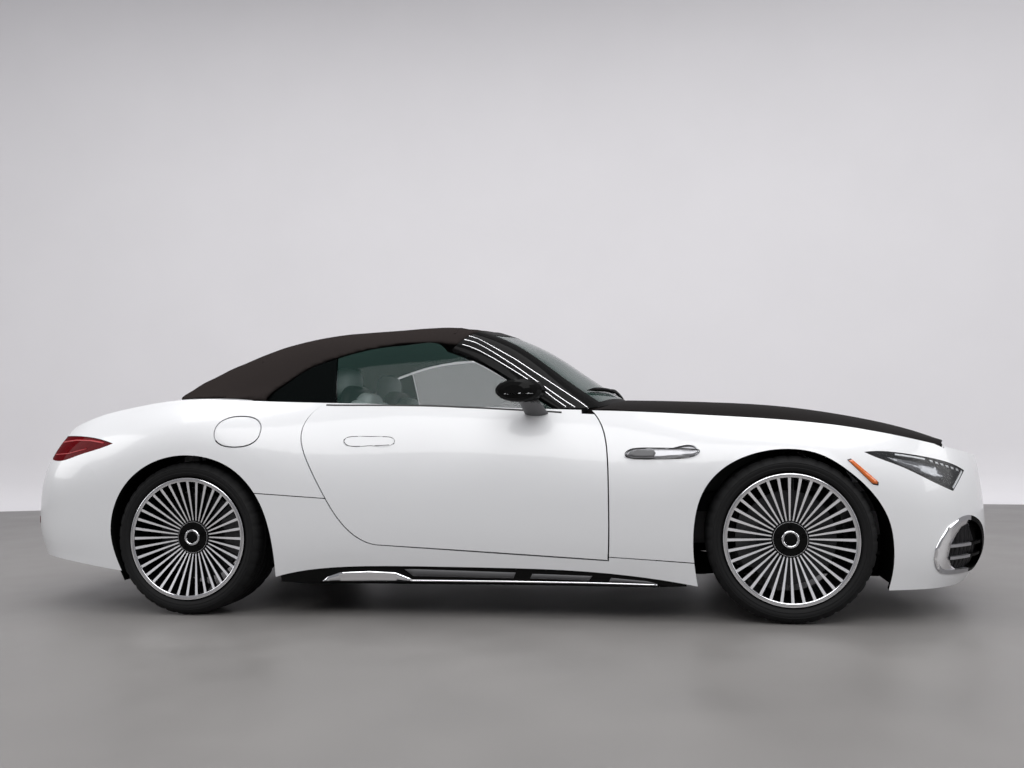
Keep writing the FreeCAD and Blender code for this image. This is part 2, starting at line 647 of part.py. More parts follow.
rear_pane = curved(roof_patch, roof_up, -4, -9, rear_pane_u, rear_pane_v)
roof = roof.cut(pane_hole)
save("soft_top", roof)

# Windscreen in its frame
glass_u = (0.05, 0.90)
glass_v = (0.155, 0.845)
frame_block = curved(screen_patch, screen_up, 0, -38)
glass_hole = curved(screen_patch, screen_up, 40, -90, glass_u, glass_v)
screen_frame = frame_block.cut(glass_hole)
save("windscreen_frame", screen_frame)
pane_u = (glass_u[0] + 0.0007, glass_u[1] - 0.0007)
pane_v = (glass_v[0] + 0.0003, glass_v[1] - 0.0003)
save("windscreen", curved(screen_patch, screen_up, -2, -2 - glass, pane_u, pane_v))

# Door glass and the small fixed pane behind it
pane = curved(pane_patch, pane_out, 0, -glass)
glass_front = [(mid_x - 168, 1202), (mid_x + 8, 1124), (mid_x + 183, 1020), (mid_x + 335, 925)]
glass_top = [(x, z - 8) for x, z in window_top[:-1]]
glass_top[-1] = glass_front[0]
glass_zone = side_view([glass_top, glass_front, [glass_front[-1], (glass_front[-1][0], 880)],
                        [(glass_front[-1][0], 880), (glass_top[0][0], 880)],
                        [(glass_top[0][0], 880), glass_top[0]]], 450, far)
pane = pane.common(glass_zone)
pane_base = side_slab(30, -door_thickness - 20)
split = [(mid_x - 718, 1300), (mid_x - 672, 880)]
quarter_side = side_view([split, [split[1], (mid_x - 1100, 880)],
                          [(mid_x - 1100, 880), (mid_x - 1100, 1300)],
                          [(mid_x - 1100, 1300), split[0]]], 450, far)
door_side = side_view([[(x + panel_gap, z) for x, z in split],
                       [(split[1][0] + panel_gap, 880), (mid_x + 500, 880)],
                       [(mid_x + 500, 880), (mid_x + 500, 1300)],
                       [(mid_x + 500, 1300), (split[0][0] + panel_gap, 1300)]], 450, far)


def tallest(shape):
    return max(shape.Solids, key=lambda solid: solid.BoundBox.ZMax)


door_pane = tallest(pane.common(door_side).cut(pane_base))
quarter_pane = tallest(pane.common(quarter_side).cut(pane_base).cut(deck_cutter))
save("door_glass_left", door_pane)
save("door_glass_right", mirrored(door_pane))
save("rear_windows", [rear_pane] + both_sides(quarter_pane))

# Mirrors, on a foot at the front of the door's upper edge
mirror_stations = [(half_width - 70, 50, 32), (half_width - 58, 74, 40), (half_width - 36, 92, 47),
                   (half_width, 102, 51), (half_width + 38, 102, 51), (half_width + 66, 92, 46),
                   (half_width + 84, 72, 36), (half_width + 93, 44, 21)]
mirror_centre = (mid_x + 228, 1000)


def oval(x, y, z, half_x, half_z):
    """A flat ring of straight edges, close to an ellipse."""
    points = []
    for i in range(24):
        turn = 2 * math.pi * i / 24
        points.append(V(x + half_x * math.cos(turn), y, z + half_z * math.sin(turn)))
    return Part.makePolygon(points + [points[0]])


shell_wires = [oval(mirror_centre[0] - (y - half_width) * 0.25, y, mirror_centre[1], a, b)
               for y, a, b in mirror_stations]
mirror_shell = Part.makeLoft(shell_wires, True, True)
mirror_foot = Part.makeLoft([oval(mirror_centre[0] + 45, half_width - 175, 890, 55, 16),
                             oval(mirror_centre[0] + 15, half_width - 20, 972, 42, 18)], True, True)
mirror = fused([mirror_shell, mirror_foot]).cut(side_slab(seat_gap, -door_thickness))
mirror = max(mirror.Solids, key=lambda solid: solid.Volume)
save("mirror_left", mirror)
save("mirror_right", mirrored(mirror))

# Fuel flap in the right quarter
flap_x, flap_z = rear_axle_x + 237, 841
flap_half_x, flap_half_z = 104, 68


def flap_zone(gap):
    points = []
    for i in range(16):
        turn = 2 * math.pi * i / 16
        c, s = math.cos(turn), math.sin(turn)
        points.append(V(flap_x + (flap_half_x + gap) * math.copysign(abs(c) ** 0.85, c), inner,
                        flap_z + (flap_half_z + gap) * math.copysign(abs(s) ** 0.85, s)))
    line = Part.BSplineCurve()
    line.interpolate(points, PeriodicFlag=True)
    return Part.Face(Part.Wire(line.toShape())).extrude(V(0, far - inner, 0))


flap_depth = 16
flap_ledge = side_slab(-flap_depth - seat_gap, -45).common(flap_zone(20)).cut(flap_zone(-12))
flap_ledge_room = side_slab(-skin, -45 - seat_gap).common(flap_zone(20 + seat_gap))
flap = side_slab(0, -flap_depth).common(flap_zone(0))
save("fuel_flap", mirrored(flap))
flap_side = fused([quarter.cut(flap_zone(panel_gap)), flap_ledge])
save("rear_body", fused([quarter, mirrored(flap_side)]))

# Structure: floor with its tunnel and sills, bulkheads, rails and beams
tub_x = (mid_x - 880, mid_x + 905)
tunnel = (130, 330)
sill_y = (700, 800)
floor_z = (148, 172)
floor_line = [V(tub_x[0], 0, tunnel[1]), V(tub_x[0], tunnel[0] - 30, tunnel[1]),
              V(tub_x[0], tunnel[0], floor_z[1]),
              V(tub_x[0], sill_y[0], floor_z[1]), V(tub_x[0], sill_y[0], 330),
              V(tub_x[0], sill_y[1] - 15, 330),
              V(tub_x[0], sill_y[1], 300), V(tub_x[0], sill_y[1], floor_z[0] + 12),
              V(tub_x[0], sill_y[0], floor_z[0]), V(tub_x[0], tunnel[0] - 24, floor_z[0]),
              V(tub_x[0], tunnel[0] - 50, tunnel[1] - 24), V(tub_x[0], 0, tunnel[1] - 24)]
firewall_x = (mid_x + 660, mid_x + 684)
half_floor = Part.Face(Part.makePolygon(floor_line + [floor_line[0]])).extrude(V(tub_x[1] - tub_x[0], 0, 0))
half_floor = half_floor.cut(box((firewall_x[1], tub_x[1] + 9), (-9, 640), (0, 400)))
half_firewall = box(firewall_x, (0, 760), (floor_z[1], 800))
a_post = box((mid_x + 645, mid_x + 720), (640, 800), (floor_z[1], 830))
seat_wall_x = (mid_x - 880, mid_x - 856)
seat_wall = box(seat_wall_x, (0, 760), (floor_z[1], 900))
b_post = box((mid_x - 880, mid_x - 800), (690, 800), (floor_z[1], 905))
front_rail = box((mid_x + 684, nose_x - 170), (340, 400), (430, 520))
front_beam = box((nose_x - 170, nose_x), (0, 640), (312, 358))
rail_drop = box((nose_x - 230, nose_x - 170), (340, 400), (312, 520))
nose_beam = box((front_axle_x + 560, front_axle_x + 620), (0, 700), (640, 680))
beam_post = box((front_axle_x + 560, front_axle_x + 620), (340, 400), (500, 660))
boot_floor = box((tail_x + 110, mid_x - 870), (0, 560), (430, 446))
rear_rail = box((tail_x + 110, mid_x - 870), (500, 560), (380, 470))
rear_beam = box((tail_x, tail_x + 110), (0, 640), (460, 520))
tower = box((front_axle_x - 90, front_axle_x + 90), (400, 470), (430, 780))
rear_tower = box((rear_axle_x - 90, rear_axle_x + 90), (470, 560), (430, 860))
pieces = [half_floor, half_firewall, a_post, seat_wall, b_post]

# Arms that reach out to each panel's inner face
pieces.append(box((mid_x + 645, mid_x + 720), (790, far), (520, 570)))
pieces.append(box((mid_x - 880, mid_x - 830), (790, far), (690, 740)))
pieces.append(box((mid_x - 860, mid_x - 780), (790, far), (240, 280)))
pieces.append(box((mid_x - 60, mid_x + 20), (790, far), (238, 268)))
pieces.append(box((mid_x + 760, mid_x + 840), (790, far), (210, 236)))
half_tub = fused(pieces).cut(side_slab(90, -skin - seat_gap))
half_tub = half_tub.cut(side_slab(90, -door_thickness - panel_gap).common(door_hole))
half_tub = half_tub.cut(rod((door_hinge_x, door_hinge_y, 240), (door_hinge_x, door_hinge_y, 1000),
                            door_sweep))
half_tub = max(half_tub.Solids, key=lambda solid: solid.Volume)

# Props under the deck, the boot lid, the bonnet and the windscreen frame
deck_prop = box((rear_axle_x - 380, rear_axle_x - 340), (300, 360), (440, 1060)).cut(
    curved(deck_patch, deck_up, 90, -lid_thickness - seat_gap))
boot_prop = box((rear_axle_x - 700, rear_axle_x - 660), (500, 540), (440, 1000)).cut(
    curved(deck_patch, deck_up, 90, -lid_thickness - seat_gap))
hood_prop = box((front_axle_x + 570, front_axle_x + 610), (500, 540), (660, 1000)).cut(
    curved(hood_patch, hood_up, 200, -lid_thickness - seat_gap))
pillar_prop = fused([box((mid_x + 430, mid_x + 515), (655, 690), (800, 940)),
                     box((mid_x + 430, mid_x + 700), (655, 690), (790, 830))])
pillar_prop = pillar_prop.cut(curved(screen_patch, screen_up, 200, -38 - 3 * seat_gap)).cut(frame_block)


def lowest(shape):
    return min(shape.Solids, key=lambda solid: solid.BoundBox.ZMin)


half_tub = fused([half_tub, lowest(pillar_prop)])
save("floor_tub", fused([half_tub, mirrored(half_tub)]))

# Rails, beams and spring towers at both ends
firewall_face, seat_wall_face = firewall_x[1] + seat_gap, seat_wall_x[0] - seat_gap
front_half_frame = fused([front_rail, front_beam, rail_drop, nose_beam, beam_post, tower,
                          lowest(hood_prop)])
front_half_frame = front_half_frame.common(box((firewall_face, nose_x), (0, far), (0, 1200)))
rear_half_frame = fused([boot_floor, rear_rail, rear_beam, rear_tower, lowest(deck_prop),
                         lowest(boot_prop)])
rear_half_frame = rear_half_frame.common(box((tail_x, seat_wall_face), (0, far), (0, 1200)))
frames = []
for half in (front_half_frame, rear_half_frame):
    half = half.cut(side_slab(90, -skin - seat_gap))
    half = max(half.Solids, key=lambda solid: solid.Volume)
    frames.append(fused([half, mirrored(half)]))
save("frame_rails", frames)

# Liners over the wheels, the front ones each with a bracket on the rail
bracket = box((front_axle_x - 445, front_axle_x - 422), (400 + seat_gap, 520), (435, 480))
liners = []
for half in (fused([liner(front_axle_x, front_arch_line, 480), bracket]),
             liner(rear_axle_x, rear_arch_line, 560 + seat_gap).cut(flap_ledge_room)):
    half = half.cut(side_slab(90, -skin - seat_gap))
    liners += both_sides(max(half.Solids, key=lambda solid: solid.Volume))
save("wheel_liners", liners)

# Wheels
def turned(points, x, y, z):
    """A ring from its section, given as (radius, y)."""
    section = [V(x, py, z + r) for r, py in points]
    return Part.Face(Part.makePolygon(section + [section[0]])).revolve(V(x, y, z), V(0, 1, 0), 360)


def wheel(x, face_y, width, dish):
    z = tyre_radius
    mid = face_y - width / 2
    tyre_line = [(rim_radius + 1, face_y - 14), (rim_radius + 30, face_y + 4),
                 (tyre_radius - 26, face_y + 3),
                 (tyre_radius, face_y - 30), (tyre_radius, mid - width / 2 + 30),
                 (tyre_radius - 26, mid - width / 2 - 3), (rim_radius + 30, mid - width / 2 - 4),
                 (rim_radius + 1, mid - width / 2 + 14)]
    tyre = turned(tyre_line, x, mid, z)
    barrel_line = [(rim_radius + 0.7, face_y - 14), (rim_radius + 0.7, face_y),
                   (rim_radius - rim_lip, face_y - 1),
                   (rim_radius - rim_lip, face_y - 30), (rim_radius - 26, mid - width / 2 + 6),
                   (rim_radius + 0.7, mid - width / 2 + 6), (rim_radius + 0.7, mid - width / 2 + 14),
                   (rim_radius - 12, face_y - 60)]
    barrel = turned(barrel_line, x, mid, z)
    hub_front = face_y - dish
    hub_line = [(0, hub_front), (hub_radius - 8, hub_front), (hub_radius, hub_front - 8),
                (hub_radius, hub_front - 58),
                (stub_radius + running_gap, hub_front - 58), (stub_radius + running_gap, hub_front - 30),
                (0, hub_front - 30)]
    hub = turned(hub_line, x, mid, z)
    outer_r = rim_radius - rim_lip + 4
    spoke_line = [V(x, hub_front - 6, z + hub_radius - 4), V(x, face_y - 4, z + outer_r),
                  V(x, face_y - 4 - spoke_depth, z + outer_r),
                  V(x, hub_front - 6 - spoke_depth * 1.6, z + hub_radius - 4)]
    blade = Part.Face(Part.makePolygon(spoke_line + [spoke_line[0]])).extrude(V(spoke_tip_width, 0, 0))
    blade.translate(V(-spoke_tip_width / 2, 0, 0))
    low_z, high_z = z + hub_radius - 9, z + outer_r + 9
    taper = [V(x - spoke_root_width / 2, 0, low_z), V(x + spoke_root_width / 2, 0, low_z),
             V(x + spoke_tip_width / 2, 0, high_z), V(x - spoke_tip_width / 2, 0, high_z)]
    blade = blade.common(Part.Face(Part.makePolygon(taper + [taper[0]])).extrude(V(0, far + far, 0)))
    blades = []
    for i in range(spoke_count):
        copy = blade.copy()
        copy.rotate(V(x, 0, z), V(0, 1, 0), 360.0 * i / spoke_count)
        blades.append(copy)
    rim = barrel.multiFuse([hub] + blades)
    disc_y = hub_front - 64
    disc_line = [(stub_radius + 6, hub_front - 58 - seat_gap), (70, hub_front - 58 - seat_gap),
                 (74, disc_y - 16),
                 (disc_radius, disc_y - 16), (disc_radius, disc_y - 16 - disc_thickness),
                 (66, disc_y - 16 - disc_thickness), (64, disc_y - 8), (stub_radius + 6, disc_y - 8)]
    disc = turned(disc_line, x, mid, z)
    return tyre, rim, disc, hub_front


corner_dish = {"front": 34.0, "rear": 58.0}
hub_faces = {}
for end, x, width in (("front", front_axle_x, front_tyre_width), ("rear", rear_axle_x, rear_tyre_width)):
    tyre, rim, disc, hub_faces[end] = wheel(x, wheel_face_y, width, corner_dish[end])
    for name, shape in (("tyre", tyre), ("rim", rim), ("brake_disc", disc)):
        save(name + "_" + end + "_left", shape)
        save(name + "_" + end + "_right", mirrored(shape))


# Knuckles and hub carriers, each with its stub axle and caliper
def upright(x, hub_front):
    disc_inner = hub_front - 64 - 16 - disc_thickness
    z = tyre_radius
    stub = rod((x, disc_inner - 60, z), (x, hub_front - 31, z), stub_radius)
    flange = rod((x, disc_inner - 60, z), (x, disc_inner - brake_gap - 8, z), 58)
    stem = box((x - 28, x + 28), (disc_inner - 60, disc_inner - 30), (z - 150, z + 165))
    return stub, flange, stem, disc_inner


def caliper(x, hub_front, side):
    disc_outer = hub_front - 64 - 16
    disc_inner = disc_outer - disc_thickness
    z = tyre_radius
    line = [(disc_radius - 62, disc_inner - 34), (disc_radius - 62, disc_inner - brake_gap),
            (disc_radius + brake_gap, disc_inner - brake_gap),
            (disc_radius + brake_gap, disc_outer + brake_gap),
            (disc_radius - 62, disc_outer + brake_gap), (disc_radius - 62, disc_outer + 34),
            (disc_radius + 24, disc_outer + 26), (disc_radius + 24, disc_inner - 34)]
    section = [V(x, y, z + r) for r, y in line]
    body = Part.Face(Part.makePolygon(section + [section[0]])).revolve(V(x, 0, z), V(0, 1, 0), 62)
    body.rotate(V(x, 0, z), V(0, 1, 0), side - 31)
    return body


kingpin_y = front_wheel_y - kingpin_inset
pin_foot_z = tyre_radius - 150
stub, flange, stem, disc_inner = upright(front_axle_x, hub_faces["front"])
grip = caliper(front_axle_x, hub_faces["front"], -90)
bridge = box((front_axle_x - 150, front_axle_x + 28), (disc_inner - 60, disc_inner - 30),
             (tyre_radius - 36, tyre_radius + 36))
steer_arm = box((front_axle_x - 150, front_axle_x - 20), (disc_inner - 60, disc_inner - 34),
                (tyre_radius - 120, tyre_radius - 90))
knuckle = fused([stub, flange, stem, grip, bridge, steer_arm])
knuckle = knuckle.cut(rod((front_axle_x, kingpin_y, pin_foot_z - 9),
                          (front_axle_x, kingpin_y, pin_foot_z + 29),
                          pin_radius + seat_gap))
save("knuckle_front_left", knuckle)
save("knuckle_front_right", mirrored(knuckle))

# Front suspension: subframe, wishbones and spring struts
def arm(x, y_in, y_out, z_in, z_out, spread, thick):
    points = [V(x - spread, y_in, z_in), V(x - 22, y_out, z_out), V(x + 22, y_out, z_out),
              V(x + spread, y_in, z_in),
              V(x + spread - 45, y_in, z_in), V(x, y_out - 90, z_out + (z_in - z_out) * 0.3),
              V(x - spread + 45, y_in, z_in)]
    return Part.Face(Part.makePolygon([V(p.x, p.y, z_out) for p in points + [points[0]]])).extrude(V(0, 0,
                                                                                                     thick))


arm_low_z = pin_foot_z - 37
front_low = arm(front_axle_x, 330, kingpin_y + 20, arm_low_z, arm_low_z, 150, 30)
kingpin = rod((front_axle_x, kingpin_y, arm_low_z), (front_axle_x, kingpin_y, pin_foot_z + 26), pin_radius)
strut = rod((front_axle_x + 30, 560, 232), (front_axle_x + 30, 440, 700), 38)
front_frame = box((front_axle_x - 220, front_axle_x + 200), (0, 340), (170, 240))
tie_rod = rod((front_axle_x - 130, 0, 250), (front_axle_x - 130, 600, 250), 14)
frame_link = box((front_axle_x - 200, front_axle_x - 140), (300, 400), (200, 430 - seat_gap))

strut_foot = box((front_axle_x - 25, front_axle_x + 85), (535, 585), (arm_low_z, 250))
front_parts = fused([front_frame, frame_link, front_low, kingpin, strut_foot, strut, tie_rod])
front_parts = front_parts.cut(box((front_axle_x - 300, front_axle_x + 300),
                                  (400 - seat_gap, 470 + seat_gap), (430 - seat_gap, 900)))
front_parts = max(front_parts.Solids, key=lambda solid: solid.Volume)
front_set = fused([front_parts, mirrored(front_parts)])

# Rear suspension: subframe, final drive, half shafts, arms, struts and hub carriers
stub, flange, stem, disc_inner = upright(rear_axle_x, hub_faces["rear"])
grip = caliper(rear_axle_x, hub_faces["rear"], 90)
carrier = box((rear_axle_x - 40, rear_axle_x + 150), (disc_inner - 60, disc_inner - 30),
              (tyre_radius - 60, tyre_radius + 60))
rear_low = arm(rear_axle_x, 300, disc_inner - 40, 205, 205, 160, 30)
half_shaft = rod((rear_axle_x, 90, tyre_radius), (rear_axle_x, disc_inner - 50, tyre_radius), 18)
final_drive = box((rear_axle_x - 120, rear_axle_x + 160), (0, 100), (250, 420))
rear_frame = box((rear_axle_x - 220, rear_axle_x + 220), (0, 320), (185, 235))
drive_mount = box((rear_axle_x - 90, rear_axle_x + 90), (0, 90), (230, 260))
frame_post = box((rear_axle_x - 200, rear_axle_x - 150), (270, 320), (230, 430 - seat_gap))
stem_foot = box((rear_axle_x - 28, rear_axle_x + 28), (disc_inner - 60, disc_inner - 30), (205, 300))
rear_half = fused([stub, flange, stem, grip, carrier, rear_low, half_shaft, final_drive, rear_frame,
                   drive_mount,
                   frame_post, stem_foot])
rear_set = fused([rear_half, mirrored(rear_half)])
save("suspension", [front_set, rear_set])

# Engine and gearbox as one plain block on the front subframe
engine = box((front_axle_x - 640, front_axle_x + 60), (-290, 290), (268, 760))
feet = box((front_axle_x - 110, front_axle_x - 50), (-200, 200), (240 + seat_gap, 272))
save("engine_block", fused([engine, feet]))

# Exhaust: centre pipes, rear silencer and four tips
tips = []
for y in (430, 530):
    outer = rod((tail_x + 120, y, 262), (tail_x + 330, y, 262), 44)
    tips.append(outer.cut(rod((tail_x + 60, y, 262), (tail_x + 290, y, 262), 40)))
silencer = box((tail_x + 320, tail_x + 560), (0, 600), (215, 345))
hanger = box((tail_x + 420, tail_x + 450), (480, 520), (340, 380 - seat_gap))
exhaust_half = fused(tips + [silencer, hanger])
save("exhaust", fused([exhaust_half, mirrored(exhaust_half)]))

# Dashboard with its console, between the doors
dash_line = [[(mid_x + 520, 905), (mid_x + 330, 935), (mid_x + 170, 925), (mid_x + 120, 880),
              (mid_x + 150, 800),
              (mid_x + 260, 700), (mid_x + 330, 600)],
             [(mid_x + 330, 600), (mid_x + 520, 560)], [(mid_x + 520, 560), (mid_x + 520, 905)]]
dash = side_view(dash_line, -690, 690)
for end in both_sides(box((mid_x + 425, mid_x + 705), (650, 695), (785, 945))):
    dash = dash.cut(end)
console_line = [[(mid_x + 400, 700), (mid_x + 200, 640), (mid_x - 60, 560), (mid_x - 420, 575)],
                [(mid_x - 420, 575), (mid_x - 760, 560)], [(mid_x - 760, 560), (mid_x - 760, 335)],
                [(mid_x - 760, 335), (mid_x + 400, 335)], [(mid_x + 400, 335), (mid_x + 400, 700)]]
console = side_view(console_line, -125, 125)
column = rod((mid_x + 330, 370, 770), (mid_x + 57, 370, 849), 34)
dash_seat = box((mid_x + 500, firewall_x[0] - seat_gap), (-600, 600), (600, 800))
dashboard = fused([dash, console, dash_seat]).cut(curved(screen_patch, screen_up, 200, -42.5))
dashboard = fused([max(dashboard.Solids, key=lambda solid: solid.Volume), column])
save("dashboard", dashboard)

# Steering wheel, round the column's line
wheel_axis = V(-225, 0, 65).normalize()
wheel_centre = V(mid_x + 50, 370, 851)
ring_radius = 178.0
ring_section = []
for i in range(9):
    turn = 2 * math.pi * i / 8
    ring_section.append(wheel_centre + V(0, ring_radius + 15 * math.cos(turn),
                                         0) + wheel_axis * (15 * math.sin(turn)))
rim_ring = Part.Face(Part.makePolygon(ring_section)).revolve(wheel_centre, wheel_axis, 360)
boss = Part.makeCylinder(52, 34, wheel_centre - wheel_axis * 5, wheel_axis)
side = V(0, 1, 0)
up = wheel_axis.cross(side)
spokes = []
for direction in (side, side * -1, up * (1 if up.z < 0 else -1)):
    spokes.append(Part.makeCylinder(13, 172, wheel_centre, direction))
steering_wheel = fused([rim_ring, boss] + spokes).cut(
    Part.makeCylinder(34 + seat_gap, 90, wheel_centre + wheel_axis * 8, wheel_axis * -1))
save("steering_wheel", steering_wheel)

# Seats: cushion, back and head restraint in one shell each
seat_half = 236


def seat(y):
    cushion = side_view([[(mid_x - 120, 480), (mid_x - 200, 508), (mid_x - 420, 470), (mid_x - 640, 440)],
                         [(mid_x - 640, 440), (mid_x - 640, 300)], [(mid_x - 640, 300), (mid_x - 160, 320)],
                         [(mid_x - 160, 320), (mid_x - 110, 400), (mid_x - 120, 480)]], y - seat_half,
                         y + seat_half)
    back = side_view([[(mid_x - 560, 430), (mid_x - 640, 700), (mid_x - 705, 960)],
                      [(mid_x - 705, 960), (mid_x - 740, 1130)], [(mid_x - 740, 1130), (mid_x - 790, 1150)],
                      [(mid_x - 790, 1150), (mid_x - 830, 1080), (mid_x - 800, 800), (mid_x - 740, 400)],
                      [(mid_x - 740, 400), (mid_x - 560, 430)]], y - seat_half, y + seat_half)
    shoulders = [V(mid_x - 900, y - seat_half, 400), V(mid_x - 900, y + seat_half, 400),
                 V(mid_x - 900, y + seat_half, 850),
                 V(mid_x - 900, y + 150, 960), V(mid_x - 900, y + 130, 1160), V(mid_x - 900, y - 130, 1160),
                 V(mid_x - 900, y - 150, 960), V(mid_x - 900, y - seat_half, 850)]
    front_shape = Part.Face(Part.makePolygon(shoulders + [shoulders[0]])).extrude(V(500, 0, 0))
    base = box((mid_x - 600, mid_x - 200), (y - 190, y + 190), (floor_z[1] + seat_gap, 330))
    return fused([cushion, back.common(front_shape), base])


save("seats", [seat(-370), seat(370)])

# Grille in the mouth: a frame with upright bars
grille_x = nose_x - 124
bars = []
for i in range(17):
    y = -400 + 50 * i
    bars.append(box((grille_x, grille_x + 26), (y - 6, y + 6), (376, 616)))
rails = [box((grille_x - 8, grille_x + 20), (-450, 450), (358 + seat_gap, 384)),
         box((grille_x - 8, grille_x + 20), (-430, 430), (608, 634)),
         box((grille_x - 8, grille_x + 20), (-440, -420), (370, 620)),
         box((grille_x - 8, grille_x + 20), (420, 440), (370, 620))]
low_bars = [box((nose_x - 162, nose_x - 148), (-470, 470), (z - 5, z + 5)) for z in (215, 245, 275)]
low_frame = both_sides(box((nose_x - 168, nose_x - 148), (440, 470), (206, 312 - seat_gap)))
save("grille", [fused(bars + rails), fused(low_bars + low_frame)])

# Sill trims under the skirts
trim_plan = [[(mid_x - 882, 800 + seat_gap), (mid_x - 882, 860)],
             [(mid_x - 882, 860), (mid_x - 640, 925), (mid_x - 400, 934)],
             [(mid_x - 400, 934), (mid_x + 500, 930)], [(mid_x + 500, 930), (mid_x + 760, 915),
                                                        (mid_x + 904, 880)],
             [(mid_x + 904, 880), (mid_x + 904, 800 + seat_gap)],
             [(mid_x + 904, 800 + seat_gap), (mid_x - 882, 800 + seat_gap)]]
trim_top = [(x, z - 1) for x, z in sill_line]
trim_face = side_slab(-6, -skin).common(below(trim_top)).common(box((mid_x - 905, mid_x + 915),
                                                                    (inner, far), (151, 300)))
sill_trim = fused([plan_view(trim_plan, 148, 166).cut(side_slab(90, -4)), trim_face])
sill_trim = sill_trim.cut(front_arch).cut(rear_arch).cut(skirt)
sill_trim = max(sill_trim.Solids, key=lambda solid: solid.Volume)
save("sill_trims", both_sides(sill_trim))

# Bright air vents: outlets behind the front wheels, and the intakes at the nose's corners
outlet = side_slab(2, -vent_depth + seat_gap).common(smooth_zone(vent_line, -seat_gap))
outlet = outlet.cut(side_slab(9, -vent_depth + 4).common(smooth_zone(vent_line, -6)))
outlet_blade = side_slab(1, -vent_depth + seat_gap).common(smooth_zone(vent_line, -3))
outlet_blade = outlet_blade.common(box((mid_x + 800, mid_x + 1000), (inner, far), (690, 728)))
intake = side_slab(3, -skin).common(smooth_zone(intake_line, -seat_gap))
intake = intake.cut(side_slab(9, -skin + 6).common(smooth_zone(intake_line, -intake_rim)))
blades = []
for z in (262, 314):
    blade = side_slab(-2, -skin + 2).common(smooth_zone(intake_line, -4))
    blades.append(blade.common(box((front_axle_x + 660, nose_x), (0, far), (z - 6, z + 6))))
intake = fused([intake] + blades).cut(mouth).cut(low_mouth)
intake = max(intake.Solids, key=lambda solid: solid.Volume)
save("air_vents", both_sides(fused([outlet, outlet_blade])) + both_sides(intake))
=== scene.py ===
import math

import bmesh
import bpy
import numpy as np
from mathutils import Matrix, Vector, noise
from mathutils.bvhtree import BVHTree


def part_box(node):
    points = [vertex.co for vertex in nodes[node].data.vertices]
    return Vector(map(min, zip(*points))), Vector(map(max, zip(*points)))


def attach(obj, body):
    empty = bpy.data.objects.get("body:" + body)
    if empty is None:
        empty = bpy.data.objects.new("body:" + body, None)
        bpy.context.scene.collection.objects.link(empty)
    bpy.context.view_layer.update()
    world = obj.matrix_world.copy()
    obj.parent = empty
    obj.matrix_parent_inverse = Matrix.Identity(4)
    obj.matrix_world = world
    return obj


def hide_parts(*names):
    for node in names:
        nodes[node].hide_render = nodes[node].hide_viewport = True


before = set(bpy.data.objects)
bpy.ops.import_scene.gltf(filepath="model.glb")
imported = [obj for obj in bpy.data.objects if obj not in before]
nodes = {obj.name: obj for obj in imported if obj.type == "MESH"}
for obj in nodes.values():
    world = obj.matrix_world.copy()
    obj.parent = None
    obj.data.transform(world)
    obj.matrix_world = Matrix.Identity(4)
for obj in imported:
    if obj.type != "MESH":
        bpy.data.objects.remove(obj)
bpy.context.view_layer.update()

scene = bpy.context.scene

# Places shared with the construction, in metres
FRONT_AXLE = 1.3985
REAR_AXLE = -1.3015
AXLE_Z = 0.352
TYRE_RADIUS = 0.352
WHEEL_FACE = 0.932
SIDES = {"left": 1.0, "right": -1.0}
DOOR = "door_{}_body"
WHEEL = "wheel_{}_{}_body"

# Where rays start, clear of the car at its sides, above it and inside the cabin
OUTSIDE_Y = 1.4
ABOVE_Z = 2.0
CABIN_X = -0.3
CABIN_Y = 0.3


# Camera, as solved from the photograph, in radians, metres and pixels
CAMERA_ANGLES = (-0.16151, 0.04755, -0.01501)
CAMERA_PLACE = (0.9284, -5.2304, 0.82366)
FOCAL_PIXELS = 992.62
PICTURE_WIDTH = 1024
SENSOR_WIDTH = 36.0


def add_camera():
    yaw, pitch, roll = CAMERA_ANGLES
    right = Vector((math.cos(yaw), -math.sin(yaw), 0))
    forward = Vector((math.sin(yaw) * math.cos(pitch), math.cos(yaw) * math.cos(pitch), math.sin(pitch)))
    up = right.cross(forward)
    side = right * math.cos(roll) + up * math.sin(roll)
    top = -right * math.sin(roll) + up * math.cos(roll)
    turn = Matrix((side, top, -forward)).transposed().to_4x4()
    turn.translation = CAMERA_PLACE
    camera = bpy.data.objects.new("camera", bpy.data.cameras.new("camera"))
    scene.collection.objects.link(camera)
    camera.matrix_world = turn
    camera.data.sensor_width = SENSOR_WIDTH
    camera.data.lens = FOCAL_PIXELS / PICTURE_WIDTH * SENSOR_WIDTH
    camera.data.clip_end = 200
    scene.camera = camera


